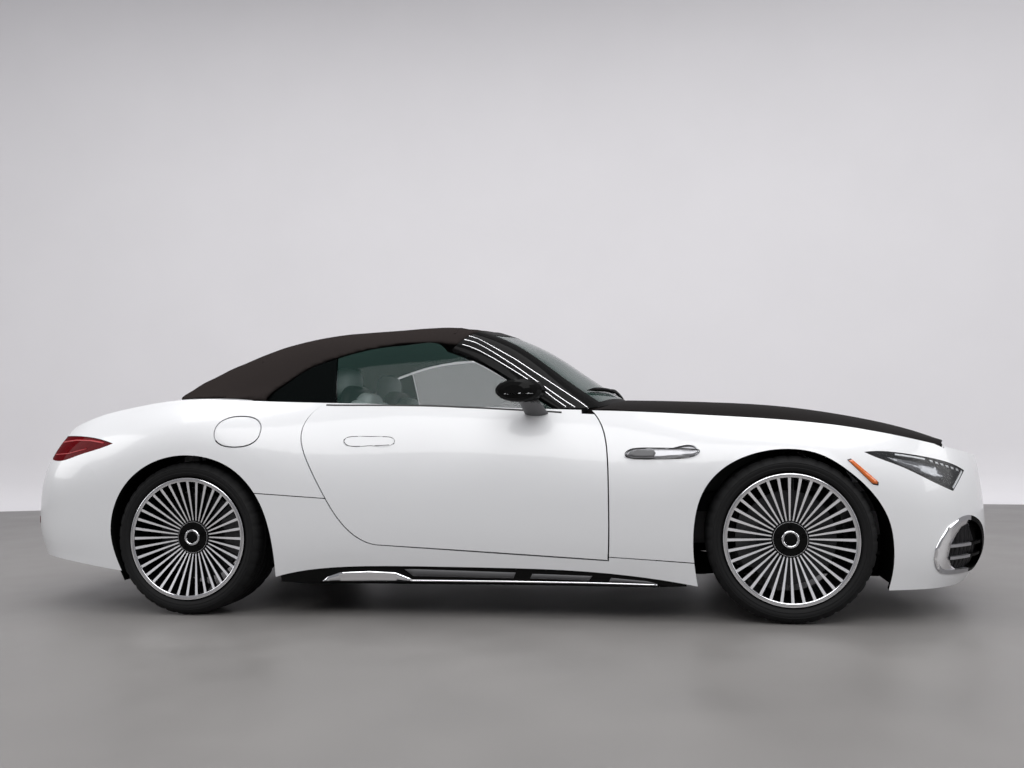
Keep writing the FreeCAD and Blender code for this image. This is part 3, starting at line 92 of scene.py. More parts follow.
# Materials
def material(name, colour, rough, metallic=0.0, grain=60.0, tone=0.05, spread=0.04, relief=0.0, depth=0.0004,
             detail=3.0, **sockets):
    """A surface whose colour, roughness and relief all vary with a noise of its own scale."""
    made = bpy.data.materials.new(name)
    made.use_nodes = True
    tree = made.node_tree
    shader = tree.nodes["Principled BSDF"]
    place = tree.nodes.new("ShaderNodeTexCoord")
    cloud = tree.nodes.new("ShaderNodeTexNoise")
    cloud.inputs["Scale"].default_value = grain
    cloud.inputs["Detail"].default_value = detail
    tree.links.new(place.outputs["Object"], cloud.inputs["Vector"])
    mix = tree.nodes.new("ShaderNodeMix")
    mix.data_type = "RGBA"
    mix.inputs["A"].default_value = [min(1.0, c * (1 - tone)) for c in colour] + [1]
    mix.inputs["B"].default_value = [min(1.0, c * (1 + tone)) for c in colour] + [1]
    tree.links.new(cloud.outputs["Fac"], mix.inputs["Factor"])
    tree.links.new(mix.outputs["Result"], shader.inputs["Base Color"])
    span = tree.nodes.new("ShaderNodeMapRange")
    span.inputs["To Min"].default_value = max(0.0, rough - spread)
    span.inputs["To Max"].default_value = min(1.0, rough + spread)
    tree.links.new(cloud.outputs["Fac"], span.inputs["Value"])
    tree.links.new(span.outputs["Result"], shader.inputs["Roughness"])
    shader.inputs["Metallic"].default_value = metallic
    if relief:
        bump = tree.nodes.new("ShaderNodeBump")
        bump.inputs["Strength"].default_value = relief
        bump.inputs["Distance"].default_value = depth
        tree.links.new(cloud.outputs["Fac"], bump.inputs["Height"])
        tree.links.new(bump.outputs["Normal"], shader.inputs["Normal"])
    for key, value in sockets.items():
        shader.inputs[key.replace("_", " ")].default_value = value
    return made


def weave(made, pitch, relief, depth):
    """Adds two crossed thread waves to a material's relief."""
    tree = made.node_tree
    shader = tree.nodes["Principled BSDF"]
    place = tree.nodes.new("ShaderNodeTexCoord")
    heights = []
    for direction in ("X", "Y"):
        wave = tree.nodes.new("ShaderNodeTexWave")
        wave.bands_direction = direction
        wave.inputs["Scale"].default_value = 1.0 / pitch / 6.2832
        wave.inputs["Distortion"].default_value = 0.6
        wave.inputs["Detail Scale"].default_value = 4.0
        tree.links.new(place.outputs["Object"], wave.inputs["Vector"])
        heights.append(wave.outputs["Fac"])
    both = tree.nodes.new("ShaderNodeMath")
    both.operation = "MAXIMUM"
    for i, height in enumerate(heights):
        tree.links.new(height, both.inputs[i])
    bump = tree.nodes.new("ShaderNodeBump")
    bump.inputs["Strength"].default_value = relief
    bump.inputs["Distance"].default_value = depth
    tree.links.new(both.outputs["Value"], bump.inputs["Height"])
    old = shader.inputs["Normal"].links
    if old:
        tree.links.new(old[0].from_socket, bump.inputs["Normal"])
    tree.links.new(bump.outputs["Normal"], shader.inputs["Normal"])
    return made


def see_through(name, colour, clear, edge, gloss=0.25):
    """Tinted glass: nearly clear face on, and closed at a shallow angle."""
    made = material(name, colour, 0.02, grain=4.0, tone=0.08, spread=0.01, Specular_IOR_Level=gloss)
    tree = made.node_tree
    facing = tree.nodes.new("ShaderNodeLayerWeight")
    facing.inputs["Blend"].default_value = 0.35
    span = tree.nodes.new("ShaderNodeMapRange")
    span.inputs["To Min"].default_value = clear
    span.inputs["To Max"].default_value = edge
    tree.links.new(facing.outputs["Facing"], span.inputs["Value"])
    tree.links.new(span.outputs["Result"], tree.nodes["Principled BSDF"].inputs["Alpha"])
    return made


def two_tone(made, colour, rough, limit):
    """Faces that look out along the axle are bright and smooth; all the others keep the dark finish."""
    tree = made.node_tree
    shader = tree.nodes["Principled BSDF"]
    place = tree.nodes.new("ShaderNodeTexCoord")
    split = tree.nodes.new("ShaderNodeSeparateXYZ")
    tree.links.new(place.outputs["Normal"], split.inputs["Vector"])
    size = tree.nodes.new("ShaderNodeMath")
    size.operation = "ABSOLUTE"
    tree.links.new(split.outputs["Y"], size.inputs[0])
    bright = tree.nodes.new("ShaderNodeMath")
    bright.operation = "GREATER_THAN"
    bright.inputs[1].default_value = limit
    tree.links.new(size.outputs["Value"], bright.inputs[0])
    old_colour = shader.inputs["Base Color"].links[0].from_socket
    mix = tree.nodes.new("ShaderNodeMix")
    mix.data_type = "RGBA"
    tree.links.new(bright.outputs["Value"], mix.inputs["Factor"])
    tree.links.new(old_colour, mix.inputs["A"])
    mix.inputs["B"].default_value = list(colour) + [1]
    tree.links.new(mix.outputs["Result"], shader.inputs["Base Color"])
    old_rough = shader.inputs["Roughness"].links[0].from_socket
    smooth = tree.nodes.new("ShaderNodeMix")
    tree.links.new(bright.outputs["Value"], smooth.inputs["Factor"])
    tree.links.new(old_rough, smooth.inputs["A"])
    smooth.inputs["B"].default_value = rough
    tree.links.new(smooth.outputs["Result"], shader.inputs["Roughness"])
    metal = tree.nodes.new("ShaderNodeMath")
    metal.operation = "MULTIPLY"
    metal.inputs[1].default_value = 0.6
    tree.links.new(bright.outputs["Value"], metal.inputs[0])
    tree.links.new(metal.outputs["Value"], shader.inputs["Metallic"])
    return made


PEARL = material("pearl_paint", (0.73, 0.735, 0.75), 0.34, grain=900, tone=0.02, spread=0.03, relief=0.03,
                 depth=0.0001, Coat_Weight=0.6, Coat_Roughness=0.06)
BLACK = material("black_paint", (0.007, 0.006, 0.0055), 0.4, grain=500, tone=0.2, spread=0.03,
                 Specular_IOR_Level=0.0, Coat_Weight=0.07, Coat_Roughness=0.06)
GLOSS = material("black_gloss_trim", (0.006, 0.006, 0.006), 0.4, grain=80, tone=0.2, spread=0.04,
                 Specular_IOR_Level=0.0, Coat_Weight=0.12, Coat_Roughness=0.05)
VENT_METAL = material("vent_metal", (0.40, 0.40, 0.42), 0.34, metallic=0.7, grain=60, tone=0.08, spread=0.06)
CHROME = material("polished_chrome", (0.82, 0.82, 0.84), 0.10, metallic=1.0, grain=25, tone=0.03, spread=0.03)
SATIN = material("satin_metal", (0.42, 0.42, 0.43), 0.34, metallic=1.0, grain=300, tone=0.06, spread=0.05,
                 relief=0.05)
GREY = material("grey_satin_paint", (0.10, 0.10, 0.105), 0.42, grain=300, tone=0.08, relief=0.06)
RUBBER = material("tyre_rubber", (0.008, 0.008, 0.0085), 0.66, grain=240, tone=0.25, spread=0.08, relief=0.12,
                  Specular_IOR_Level=0.2)
SEAL = material("seal_rubber", (0.012, 0.012, 0.012), 0.55, grain=300, tone=0.2, spread=0.08, relief=0.1)
CANVAS = weave(material("roof_canvas", (0.025, 0.0208, 0.0200), 0.92, grain=420, tone=0.35, spread=0.06,
                        relief=0.35, depth=0.0008, detail=6.0, Specular_IOR_Level=0.0), 0.0016, 0.5, 0.0006)
CARPET = weave(material("cabin_carpet", (0.035, 0.036, 0.038), 0.95, grain=600, tone=0.4, relief=0.6,
                        depth=0.002, Sheen_Weight=0.2), 0.003, 0.5, 0.001)
GLASS = see_through("tinted_glass", (0.030, 0.062, 0.054), 0.26, 0.72)
DARK_GLASS = see_through("dark_glass", (0.003, 0.004, 0.004), 0.88, 0.97, 0.05)
LENS = see_through("clear_lens", (0.06, 0.062, 0.066), 0.06, 0.35, 0.12)
RED_LENS = material("red_lens", (0.095, 0.002, 0.004), 0.3, grain=60, tone=0.4, spread=0.04,
                    Specular_IOR_Level=0.0, Coat_Weight=0.10, Coat_Roughness=0.04)
RED_LIGHT = material("red_light_bar", (0.40, 0.008, 0.012), 0.3, grain=200, tone=0.15, relief=0.3)
AMBER = material("amber_lens", (0.62, 0.13, 0.01), 0.2, grain=240, tone=0.2, relief=0.35, depth=0.0008,
                 Coat_Weight=1.0)
LAMP_BODY = material("lamp_housing", (0.012, 0.012, 0.013), 0.25, metallic=0.2, grain=120, tone=0.3,
                     relief=0.1)
LIGHT_BAR = material("light_guide", (0.85, 0.87, 0.9), 0.2, grain=200, tone=0.05, relief=0.2)
HIDE = material("pale_hide", (0.76, 0.88, 0.87), 0.46, grain=520, tone=0.05, spread=0.08, relief=0.4,
                depth=0.0005, detail=8.0)
STITCH = material("seat_thread", (0.30, 0.36, 0.36), 0.7, grain=700, tone=0.2, relief=0.4)
DARK_HIDE = material("dark_hide", (0.03, 0.03, 0.032), 0.5, grain=520, tone=0.15, spread=0.08, relief=0.35,
                     depth=0.0005, detail=8.0)
PLASTIC = material("soft_plastic", (0.025, 0.025, 0.027), 0.6, grain=700, tone=0.2, spread=0.06, relief=0.3)
DISPLAY = material("display_glass", (0.004, 0.005, 0.007), 0.08, grain=10, tone=0.3, spread=0.02,
                   Coat_Weight=1.0)
UNDERBODY = material("underbody_coat", (0.03, 0.03, 0.032), 0.7, grain=160, tone=0.3, spread=0.1, relief=0.4,
                     depth=0.001)
CAST = material("cast_alloy", (0.16, 0.16, 0.165), 0.5, metallic=0.8, grain=260, tone=0.2, spread=0.1,
                relief=0.4, depth=0.0008)
IRON = material("ground_iron", (0.085, 0.085, 0.09), 0.36, metallic=0.9, grain=90, tone=0.12, spread=0.1,
                relief=0.1)
STEEL = material("brushed_pipe", (0.55, 0.54, 0.52), 0.28, metallic=1.0, grain=200, tone=0.1, spread=0.08,
                 relief=0.1)
INTAKE_MESH = weave(material("intake_mesh", (0.005, 0.005, 0.006), 0.5, grain=160, tone=0.3, relief=0.2,
                             Specular_IOR_Level=0.15), 0.012, 1.0, 0.004)
LINER = material("arch_liner", (0.003, 0.003, 0.003), 0.9, grain=200, tone=0.4, relief=0.5, depth=0.001,
                 Specular_IOR_Level=0.1)
REFLECTOR = material("lamp_reflector", (0.36, 0.37, 0.39), 0.2, metallic=0.7, grain=60, tone=0.5, relief=0.6)
MIRROR_FACE = material("mirror_face", (0.75, 0.77, 0.78), 0.03, metallic=1.0, grain=8, tone=0.02, spread=0.01)
RIM = two_tone(material("rim_black", (0.004, 0.004, 0.0045), 0.28, grain=200, tone=0.2,
                        Specular_IOR_Level=0.15), (0.90, 0.90, 0.92), 0.30, 0.93)
PLATE = material("blank_plate", (0.55, 0.56, 0.57), 0.4, grain=120, tone=0.04, relief=0.05)

NODE_MATERIALS = {
    PEARL: ("front_fenders", "rear_body", "roof_cover", "side_skirts", "front_bumper", "rear_bumper",
            "door_left", "door_right", "boot_lid", "fuel_flap"),
    BLACK: ("hood",),
    GLOSS: ("windscreen_frame", "sill_trims", "mirror_left", "mirror_right"),
    GLASS: ("windscreen", "door_glass_left", "door_glass_right"),
    DARK_GLASS: ("rear_windows",),
    CANVAS: ("soft_top",),
    UNDERBODY: ("floor_tub", "frame_rails"),
    LINER: ("wheel_liners",),
    CAST: ("engine_block", "suspension", "knuckle_front_left", "knuckle_front_right"),
    STEEL: ("exhaust",),
    PLASTIC: ("dashboard",),
    DARK_HIDE: ("steering_wheel",),
    HIDE: ("seats",),
    LAMP_BODY: ("headlamps",),
    RED_LENS: ("tail_lamps",),
    CHROME: ("grille",),
    VENT_METAL: ("air_vents",),
    RUBBER: tuple(f"tyre_{end}_{side}" for end in ("front", "rear") for side in SIDES),
    RIM: tuple(f"rim_{end}_{side}" for end in ("front", "rear") for side in SIDES),
    IRON: tuple(f"brake_disc_{end}_{side}" for end in ("front", "rear") for side in SIDES),
}


def paint_nodes():
    for finish, names in NODE_MATERIALS.items():
        for name in names:
            nodes[name].data.materials.clear()
            nodes[name].data.materials.append(finish)


# Mesh helpers
def place_mesh(name, mesh, finish, body, smooth):
    """Gives a new mesh its finish and puts it in the scene on its body."""
    mesh.materials.append(finish)
    if smooth:
        mesh.polygons.foreach_set("use_smooth", [True] * len(mesh.polygons))
    obj = bpy.data.objects.new(name, mesh)
    scene.collection.objects.link(obj)
    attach(obj, body)
    return obj


def add_mesh(name, verts, faces, finish, body, smooth=True):
    mesh = bpy.data.meshes.new(name)
    mesh.from_pydata([tuple(v) for v in verts], [], faces)
    mesh.validate()
    return place_mesh(name, mesh, finish, body, smooth)


def finish_mesh(name, bm, finish, body, smooth=True):
    mesh = bpy.data.meshes.new(name)
    bmesh.ops.recalc_face_normals(bm, faces=bm.faces)
    bm.to_mesh(mesh)
    bm.free()
    return place_mesh(name, mesh, finish, body, smooth)


trees = {}


def tree_of(names):
    key = tuple(names)
    if key not in trees:
        verts, faces = [], []
        for name in key:
            mesh = nodes[name].data
            start = len(verts)
            verts += [v.co.copy() for v in mesh.vertices]
            faces += [[start + i for i in p.vertices] for p in mesh.polygons]
        trees[key] = BVHTree.FromPolygons(verts, faces)
    return trees[key]


def cast(names, start, direction):
    """The first point of some CAD nodes along a ray, with the normal that faces the ray's start."""
    place, normal, _, _ = tree_of(names).ray_cast(Vector(start), Vector(direction).normalized())
    if place is None:
        return None
    if normal.dot(Vector(direction)) > 0:
        normal = -normal
    return place, normal


def lifted(hit, lift):
    """A point moved off its surface along the normal."""
    return None if hit is None else (hit[0] + hit[1] * lift, hit[1])


def on_side(names, x, z, side, lift=0.0):
    return lifted(cast(names, (x, side * OUTSIDE_Y, z), (0, -side, 0)), lift)


def on_top(names, x, y, lift=0.0):
    return lifted(cast(names, (x, y, ABOVE_Z), (0, 0, -1)), lift)


def dense(points, step):
    """Points added along a chain so that none is further than a step from the next."""
    out = []
    for a, b in zip(points, points[1:]):
        a, b = Vector(a), Vector(b)
        count = max(1, math.ceil((b - a).length / step))
        out += [a.lerp(b, i / count) for i in range(count)]
    return out + [Vector(points[-1])]


def smoothed(path, passes):
    """A chain of (place, normal) with each inner point drawn towards its neighbours."""
    for _ in range(passes):
        inner = [((a[0] + b[0] * 2 + c[0]) / 4, (a[1] + b[1] * 2 + c[1]).normalized())
                 for a, b, c in zip(path, path[1:], path[2:])]
        path = [path[0]] + inner + [path[-1]]
    return path


def rounded(points, passes=2):
    """A closed outline with its corners cut back and back again, so that it reads as a curve."""
    points = [Vector(p) for p in points]
    for _ in range(passes):
        cut = []
        for a, b in zip(points, points[1:] + points[:1]):
            cut += [a.lerp(b, 0.25), a.lerp(b, 0.75)]
        points = cut
    return points


def decal(name, outline, project, finish, body, thickness=0.002, step=0.012):
    """A thin plate with an outline drawn in side view or from above, laid on the surface below it."""
    loop = dense(list(outline) + [outline[0]], step)[:-1]
    bm = bmesh.new()
    ring = [bm.verts.new((p[0], p[1], 0)) for p in loop]
    face = bm.faces.new(ring)
    bmesh.ops.triangulate(bm, faces=[face])
    for _ in range(6):
        long_edges = [e for e in bm.edges if e.calc_length() > step * 1.7]
        if not long_edges:
            break
        bmesh.ops.subdivide_edges(bm, edges=long_edges, cuts=1)
        bmesh.ops.triangulate(bm, faces=bm.faces[:])
    lost = []
    ups = {}
    for v in bm.verts:
        hit = project(v.co.x, v.co.y)
        if hit is None:
            lost.append(v)
        else:
            v.co, ups[v] = hit
    bmesh.ops.delete(bm, geom=lost, context="VERTS")
    bm.verts.index_update()
    normals = [ups[v] for v in bm.verts]
    tops = list(bm.verts)
    lower = bmesh.ops.duplicate(bm, geom=bm.verts[:] + bm.edges[:] + bm.faces[:])
    bm.verts.ensure_lookup_table()
    for v, n in zip(tops, normals):
        lower["vert_map"][v].co = v.co - n * thickness
    edges = [e for e in bm.edges if e.is_boundary]
    pairs = lower["vert_map"]
    for e in edges:
        a, b = e.verts
        if a in pairs and b in pairs and a in ups and b in ups:
            try:
                bm.faces.new((a, b, pairs[b], pairs[a]))
            except ValueError:
                pass
    return finish_mesh(name, bm, finish, body)


def bar(name, path, finish, body, width=0.006, height=0.004, closed=False, taper=False):
    """A rounded bar that follows points on a surface; each is (place, normal)."""
    path = [p for p in path if p is not None]
    count = len(path)
    verts, faces = [], []
    section = [(-1, -0.6), (-0.8, 0.5), (-0.35, 1.0), (0.35, 1.0), (0.8, 0.5), (1, -0.6)]
    for i, (place, normal) in enumerate(path):
        before = path[(i - 1) % count][0] if closed or i > 0 else place
        after = path[(i + 1) % count][0] if closed or i < count - 1 else place
        along = (after - before).normalized()
        across = normal.cross(along).normalized()
        share = 1.0
        if taper:
            share = min(1.0, 0.15 + 4.0 * min(i, count - 1 - i) / count)
        for a, b in section:
            verts.append(place + across * (a * width / 2 * share) + normal * (b * height * share))
    size = len(section)
    for i in range(count if closed else count - 1):
        for j in range(size):
            k = (i + 1) % count
            faces.append((i * size + j, i * size + (j + 1) % size, k * size + (j + 1) % size, k * size + j))
    if not closed:
        faces.append(tuple(range(size)))
        faces.append(tuple((count - 1) * size + j for j in reversed(range(size))))
    return add_mesh(name, verts, faces, finish, body)


def tube(name, points, radius, finish, body, sides=10, closed=False):
    points = [Vector(p) for p in points]
    count = len(points)
    verts, faces = [], []
    for i, p in enumerate(points):
        before = points[i - 1] if closed or i > 0 else p
        after = points[(i + 1) % count] if closed or i < count - 1 else p
        along = (after - before).normalized()
        ref = Vector((0, 0, 1)) if abs(along.z) < 0.9 else Vector((1, 0, 0))
        u = along.cross(ref).normalized()
        v = along.cross(u)
        r = radius(i / max(1, count - 1)) if callable(radius) else radius
        for j in range(sides):
            t = 2 * math.pi * j / sides
            verts.append(p + u * (r * math.cos(t)) + v * (r * math.sin(t)))
    for i in range(count if closed else count - 1):
        k = (i + 1) % count
        for j in range(sides):
            n = (j + 1) % sides
            faces.append((i * sides + j, i * sides + n, k * sides + n, k * sides + j))
    if not closed:
        faces.append(tuple(reversed(range(sides))))
        faces.append(tuple((count - 1) * sides + j for j in range(sides)))
    return add_mesh(name, verts, faces, finish, body)


def turned(name, profile, centre, finish, body, steps=96, side=1.0, smooth=True):
    """A form turned about the axle; profile is (radius, distance out along the axle)."""
    verts, faces = [], []
    for i in range(steps):
        t = 2 * math.pi * i / steps
        for r, out in profile:
            verts.append(centre + Vector((r * math.cos(t), side * out, r * math.sin(t))))
    size = len(profile)
    for i in range(steps):
        k = (i + 1) % steps
        for j in range(size - 1):
            faces.append((i * size + j, i * size + j + 1, k * size + j + 1, k * size + j))
    return add_mesh(name, verts, faces, finish, body, smooth)


# Stage
def add_stage():
    floor_finish = material("studio_floor", (0.185, 0.177, 0.172), 0.42, grain=2.2, tone=0.16, spread=0.12,
                            relief=0.1, depth=0.002, detail=8.0)
    wall_finish = material("studio_wall", (0.80, 0.785, 0.81), 0.8, grain=1.2, tone=0.03, spread=0.05)
    tree = wall_finish.node_tree
    geometry = tree.nodes.new("ShaderNodeNewGeometry")
    front = tree.nodes.new("ShaderNodeMath")
    front.operation = "SUBTRACT"
    front.inputs[0].default_value = 1.0
    tree.links.new(geometry.outputs["Backfacing"], front.inputs[1])
    tree.links.new(front.outputs["Value"], tree.nodes["Principled BSDF"].inputs["Alpha"])
    bm = bmesh.new()
    bmesh.ops.create_grid(bm, x_segments=2, y_segments=2, size=30)
    mesh = bpy.data.meshes.new("floor")
    bm.to_mesh(mesh)
    bm.free()
    mesh.materials.append(floor_finish)
    floor = bpy.data.objects.new("floor", mesh)
    scene.collection.objects.link(floor)
    verts, faces = [], []
    profile = [(0.0, 0.0), (0.1, 0.02), (0.25, 0.12), (0.35, 0.3), (0.4, 0.6), (0.4, 9.0)]
    steps = 48
    for i in range(steps + 1):
        turn = math.pi * (0.02 + 0.96 * i / steps)
        for out, z in profile:
            radius = 9.0 + out
            verts.append((radius * math.cos(turn) * 1.25, 0.5 + radius * math.sin(turn) * 0.62, z))
    for i in range(steps):
        for j in range(len(profile) - 1):
            a = i * len(profile) + j
            faces.append((a, a + 1, a + 1 + len(profile), a + len(profile)))
    mesh = bpy.data.meshes.new("wall")
    mesh.from_pydata(verts, [], faces)
    mesh.materials.append(wall_finish)
    mesh.polygons.foreach_set("use_smooth", [True] * len(mesh.polygons))
    wall = bpy.data.objects.new("wall", mesh)
    scene.collection.objects.link(wall)


def add_lights():
    world = bpy.data.worlds.new("world")
    scene.world = world
    world.use_nodes = True
    world.node_tree.nodes["Background"].inputs["Color"].default_value = (0.95, 0.95, 1.0, 1)
    world.node_tree.nodes["Background"].inputs["Strength"].default_value = 0.26
    for name, place, target, size, power in (
            ("key", (1.0, -6.5, 6.0), (0, 0, 0.5), (9, 4), 400),
            ("top", (0.0, 0.0, 6.5), (0, 0, 0), (10, 6), 460),
            ("nose", (8.0, -2.0, 3.5), (1.5, 0, 0.5), (4, 4), 160),
            ("tail", (-8.0, -2.0, 3.5), (-1.5, 0, 0.5), (4, 4), 140)):
        data = bpy.data.lights.new(name, "AREA")
        data.shape = "RECTANGLE"
        data.size, data.size_y = size
        data.energy = power
        lamp = bpy.data.objects.new(name, data)
        scene.collection.objects.link(lamp)
        lamp.location = place
        lamp.rotation_euler = (Vector(target) - Vector(place)).to_track_quat("-Z", "Y").to_euler()
    scene.view_settings.view_transform = "Standard"


# Wheels
BOLT_COUNT = 5
BOLT_CIRCLE = 0.054
BOLT_SIDES = 12


def add_tyre(end, side, x, width):
    """A tyre with four ribs' grooves, shoulder blocks and ringed walls."""
    sign = SIDES[side]
    mid = WHEEL_FACE - width / 2
    half = width / 2
    steps = 216
    walls = [(0.2795, half - 0.015), (0.2865, half - 0.004), (0.294, half + 0.001), (0.302, half + 0.0035),
             (0.3035, half + 0.0025), (0.306, half + 0.0025), (0.3075, half + 0.0035), (0.318, half + 0.003),
             (0.3195, half + 0.0015), (0.3225, half + 0.0015), (0.324, half + 0.002), (0.333, half - 0.004),
             (0.342, half - 0.013)]
    tread = [(TYRE_RADIUS - 0.0035, half - 0.022), (TYRE_RADIUS - 0.001, half - 0.036),
             (TYRE_RADIUS, half - 0.055)]
    grooves = []
    for centre in (half * 0.50, half * 0.18):
        grooves += [(TYRE_RADIUS, centre + 0.006), (TYRE_RADIUS - 0.007, centre + 0.004),
                    (TYRE_RADIUS - 0.007, centre - 0.004), (TYRE_RADIUS, centre - 0.006)]
    outer = walls + tread + grooves
    profile = outer + [(r, -y) for r, y in reversed(outer)]
    profile += [(0.2795, -(half - 0.02)), (0.2795, 0.0), (0.2795, half - 0.02)]
    verts, faces = [], []
    size = len(profile)
    first_block, last_block = len(walls) - 2, len(walls) + 2
    for i in range(steps):
        t = 2 * math.pi * i / steps
        low = i % 6 == 0
        for j, (r, y) in enumerate(profile):
            on_block = first_block <= j <= last_block or first_block <= 2 * len(outer) - 1 - j <= last_block
            drop = 0.0045 if low and on_block else 0.0
            rr = r - drop
            verts.append(Vector((x + rr * math.cos(t), sign * (mid + y), AXLE_Z + rr * math.sin(t))))
    for i in range(steps):
        k = (i + 1) % steps
        for j in range(size):
            m = (j + 1) % size
            faces.append((i * size + j, i * size + m, k * size + m, k * size + j))
    obj = add_mesh(f"tyre_tread_{end}_{side}", verts, faces, RUBBER, WHEEL.format(end, side))
    bm = bmesh.new()
    bm.from_mesh(obj.data)
    bmesh.ops.recalc_face_normals(bm, faces=bm.faces)
    bm.to_mesh(obj.data)
    bm.free()
    edge_split = obj.modifiers.new("creases", "EDGE_SPLIT")
    edge_split.split_angle = math.radians(40)
    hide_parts(f"tyre_{end}_{side}")


def add_wheel_trim(end, side, x, dish):
    sign = SIDES[side]
    body = WHEEL.format(end, side)
    face = WHEEL_FACE - dish
    centre = Vector((x, 0, AXLE_Z))
    plate = [(0.0, face + 0.0012), (0.066, face + 0.0012), (0.071, face + 0.0002), (0.074, face - 0.003)]
    turned(f"hub_plate_{end}_{side}", plate, centre, GLOSS, body, 72, sign)
    cap = [(0.0, face + 0.010), (0.020, face + 0.0095), (0.024, face + 0.008), (0.026, face + 0.004),
           (0.0, face + 0.003)]
    turned(f"hub_cap_{end}_{side}", cap, centre, GLOSS, body, 48, sign)
    ring = [(0.026, face + 0.003), (0.027, face + 0.009), (0.0315, face + 0.011), (0.0365, face + 0.009),
            (0.039, face + 0.001), (0.026, face + 0.001)]
    turned(f"hub_ring_{end}_{side}", ring, centre, CHROME, body, 64, sign)
    verts, faces = [], []
    for k in range(BOLT_COUNT):
        t = math.radians(90 + 360 / BOLT_COUNT * k)
        bolt = centre + Vector((BOLT_CIRCLE * math.cos(t), 0, BOLT_CIRCLE * math.sin(t)))
        start = len(verts)
        rows = [(0.0095, -0.004), (0.0095, 0.003), (0.0080, 0.0045), (0.0055, 0.0045), (0.005, 0.000)]
        for r, out in rows:
            for s in range(BOLT_SIDES):
                a = 2 * math.pi * s / BOLT_SIDES
                verts.append(bolt + Vector((r * math.cos(a), sign * (face + out), r * math.sin(a))))
        for row in range(len(rows) - 1):
            low = start + row * BOLT_SIDES
            high = low + BOLT_SIDES
            for s in range(BOLT_SIDES):
                n = (s + 1) % BOLT_SIDES
                faces.append((low + s, low + n, high + n, high + s))
        faces.append(tuple(start + (len(rows) - 1) * BOLT_SIDES + s for s in range(BOLT_SIDES)))
    add_mesh(f"wheel_bolts_{end}_{side}", verts, faces, GLOSS, body, smooth=False)
    lip = [(0.262, WHEEL_FACE - 0.002), (0.2645, WHEEL_FACE + 0.0005), (0.2755, WHEEL_FACE + 0.0012),
           (0.2785, WHEEL_FACE - 0.001)]
    turned(f"rim_edge_{end}_{side}", lip, centre, CHROME, body, 128, sign)


# Body details
def side_project(names, side, lift):
    return lambda x, z: on_side(names, x, z, SIDES[side], lift)


def inner_project(names, side, start_y, lift):
    """Lays points on the faces that are met first from inside the car."""
    sign = SIDES[side]

    def project(x, z):
        return lifted(cast(names, (x, sign * start_y, z), (0, sign, 0)), lift)
    return project


def end_project(names, start_x, lift):
    """Lays points, given as (y, z), on the faces that are met first along the car."""
    direction = -1.0 if start_x > 0 else 1.0

    def project(y, z):
        return lifted(cast(names, (start_x, y, z), (direction, 0, 0)), lift)
    return project


def fitted_skin(names, samples, side, lift):
    """A smooth quadratic sheet through samples of the skin round an opening, for trim that spans it."""
    sign = SIDES[side]
    rows, values = [], []
    for x, z in samples:
        hit = on_side(names, x, z, sign)
        if hit:
            rows.append((1, x, z, x * x, x * z, z * z))
            values.append(hit[0].y)
    c = np.linalg.lstsq(np.array(rows), np.array(values), rcond=None)[0]

    def project(x, z):
        y = c[0] + c[1] * x + c[2] * z + c[3] * x * x + c[4] * x * z + c[5] * z * z
        slope_x, slope_z = c[1] + 2 * c[3] * x + c[4] * z, c[2] + c[4] * x + 2 * c[5] * z
        normal = Vector((-slope_x, 1.0, -slope_z)).normalized() * sign
        return Vector((x, y, z)) + normal * lift, normal
    return project


def side_loop(name, names, points, side, finish, body, **form):
    """A bar along a smooth closed outline in side view."""
    count = len(points)
    path = []
    for i in range(count):
        p0, p1, p2, p3 = (Vector(points[(i + k) % count]) for k in (-1, 0, 1, 2))
        for k in range(6):
            t = k / 6
            p = 0.5 * (2 * p1 + (p2 - p0) * t + (2 * p0 - 5 * p1 + 4 * p2 - p3) * t * t
                       + (3 * p1 - p0 - 3 * p2 + p3) * t ** 3)
            path.append(on_side(names, p.x, p.y, SIDES[side]))
    return bar(name, path, finish, body, closed=True, **form)


def side_bar(name, names, points, side, finish, body, lift=0.0, **form):
    path = [on_side(names, p[0], p[1], SIDES[side], lift) for p in dense(points, 0.02)]
    return bar(name, path, finish, body, **form)


HANDLE = [(-0.562, 0.790), (-0.551, 0.8045), (-0.521, 0.8105), (-0.4415, 0.8095), (-0.357, 0.8065),
          (-0.333, 0.7985), (-0.3255, 0.7862), (-0.338, 0.7715), (-0.4315, 0.7675), (-0.531, 0.7675)]
VENT = [(0.7085, 0.712), (0.7245, 0.733), (0.7605, 0.743), (0.8985, 0.740), (1.0285, 0.735), (1.0325, 0.722),
        (1.0105, 0.704), (0.9485, 0.696), (0.8285, 0.695), (0.7385, 0.696)]
VENT_DARK = [(0.724, 0.712), (0.736, 0.727), (0.766, 0.734), (0.838, 0.732), (0.846, 0.720), (0.838, 0.704),
             (0.800, 0.703), (0.748, 0.704)]
MARKER = [(1.640, 0.680), (1.654, 0.684), (1.752, 0.594), (1.750, 0.582), (1.730, 0.586)]
VENT_MIDDLE = (0.870, 0.718)
MARKER_MIDDLE = (1.700, 0.635)
ARCH_REACH = 0.56
ARCH_TOP = 0.80
INTAKE_NOSE_X = 2.168
INTAKE_TOP = 0.5


def about(outline, middle, grow_x, grow_z):
    """An outline drawn larger or smaller about a point."""
    return [(middle[0] + (x - middle[0]) * grow_x, middle[1] + (z - middle[1]) * grow_z) for x, z in outline]


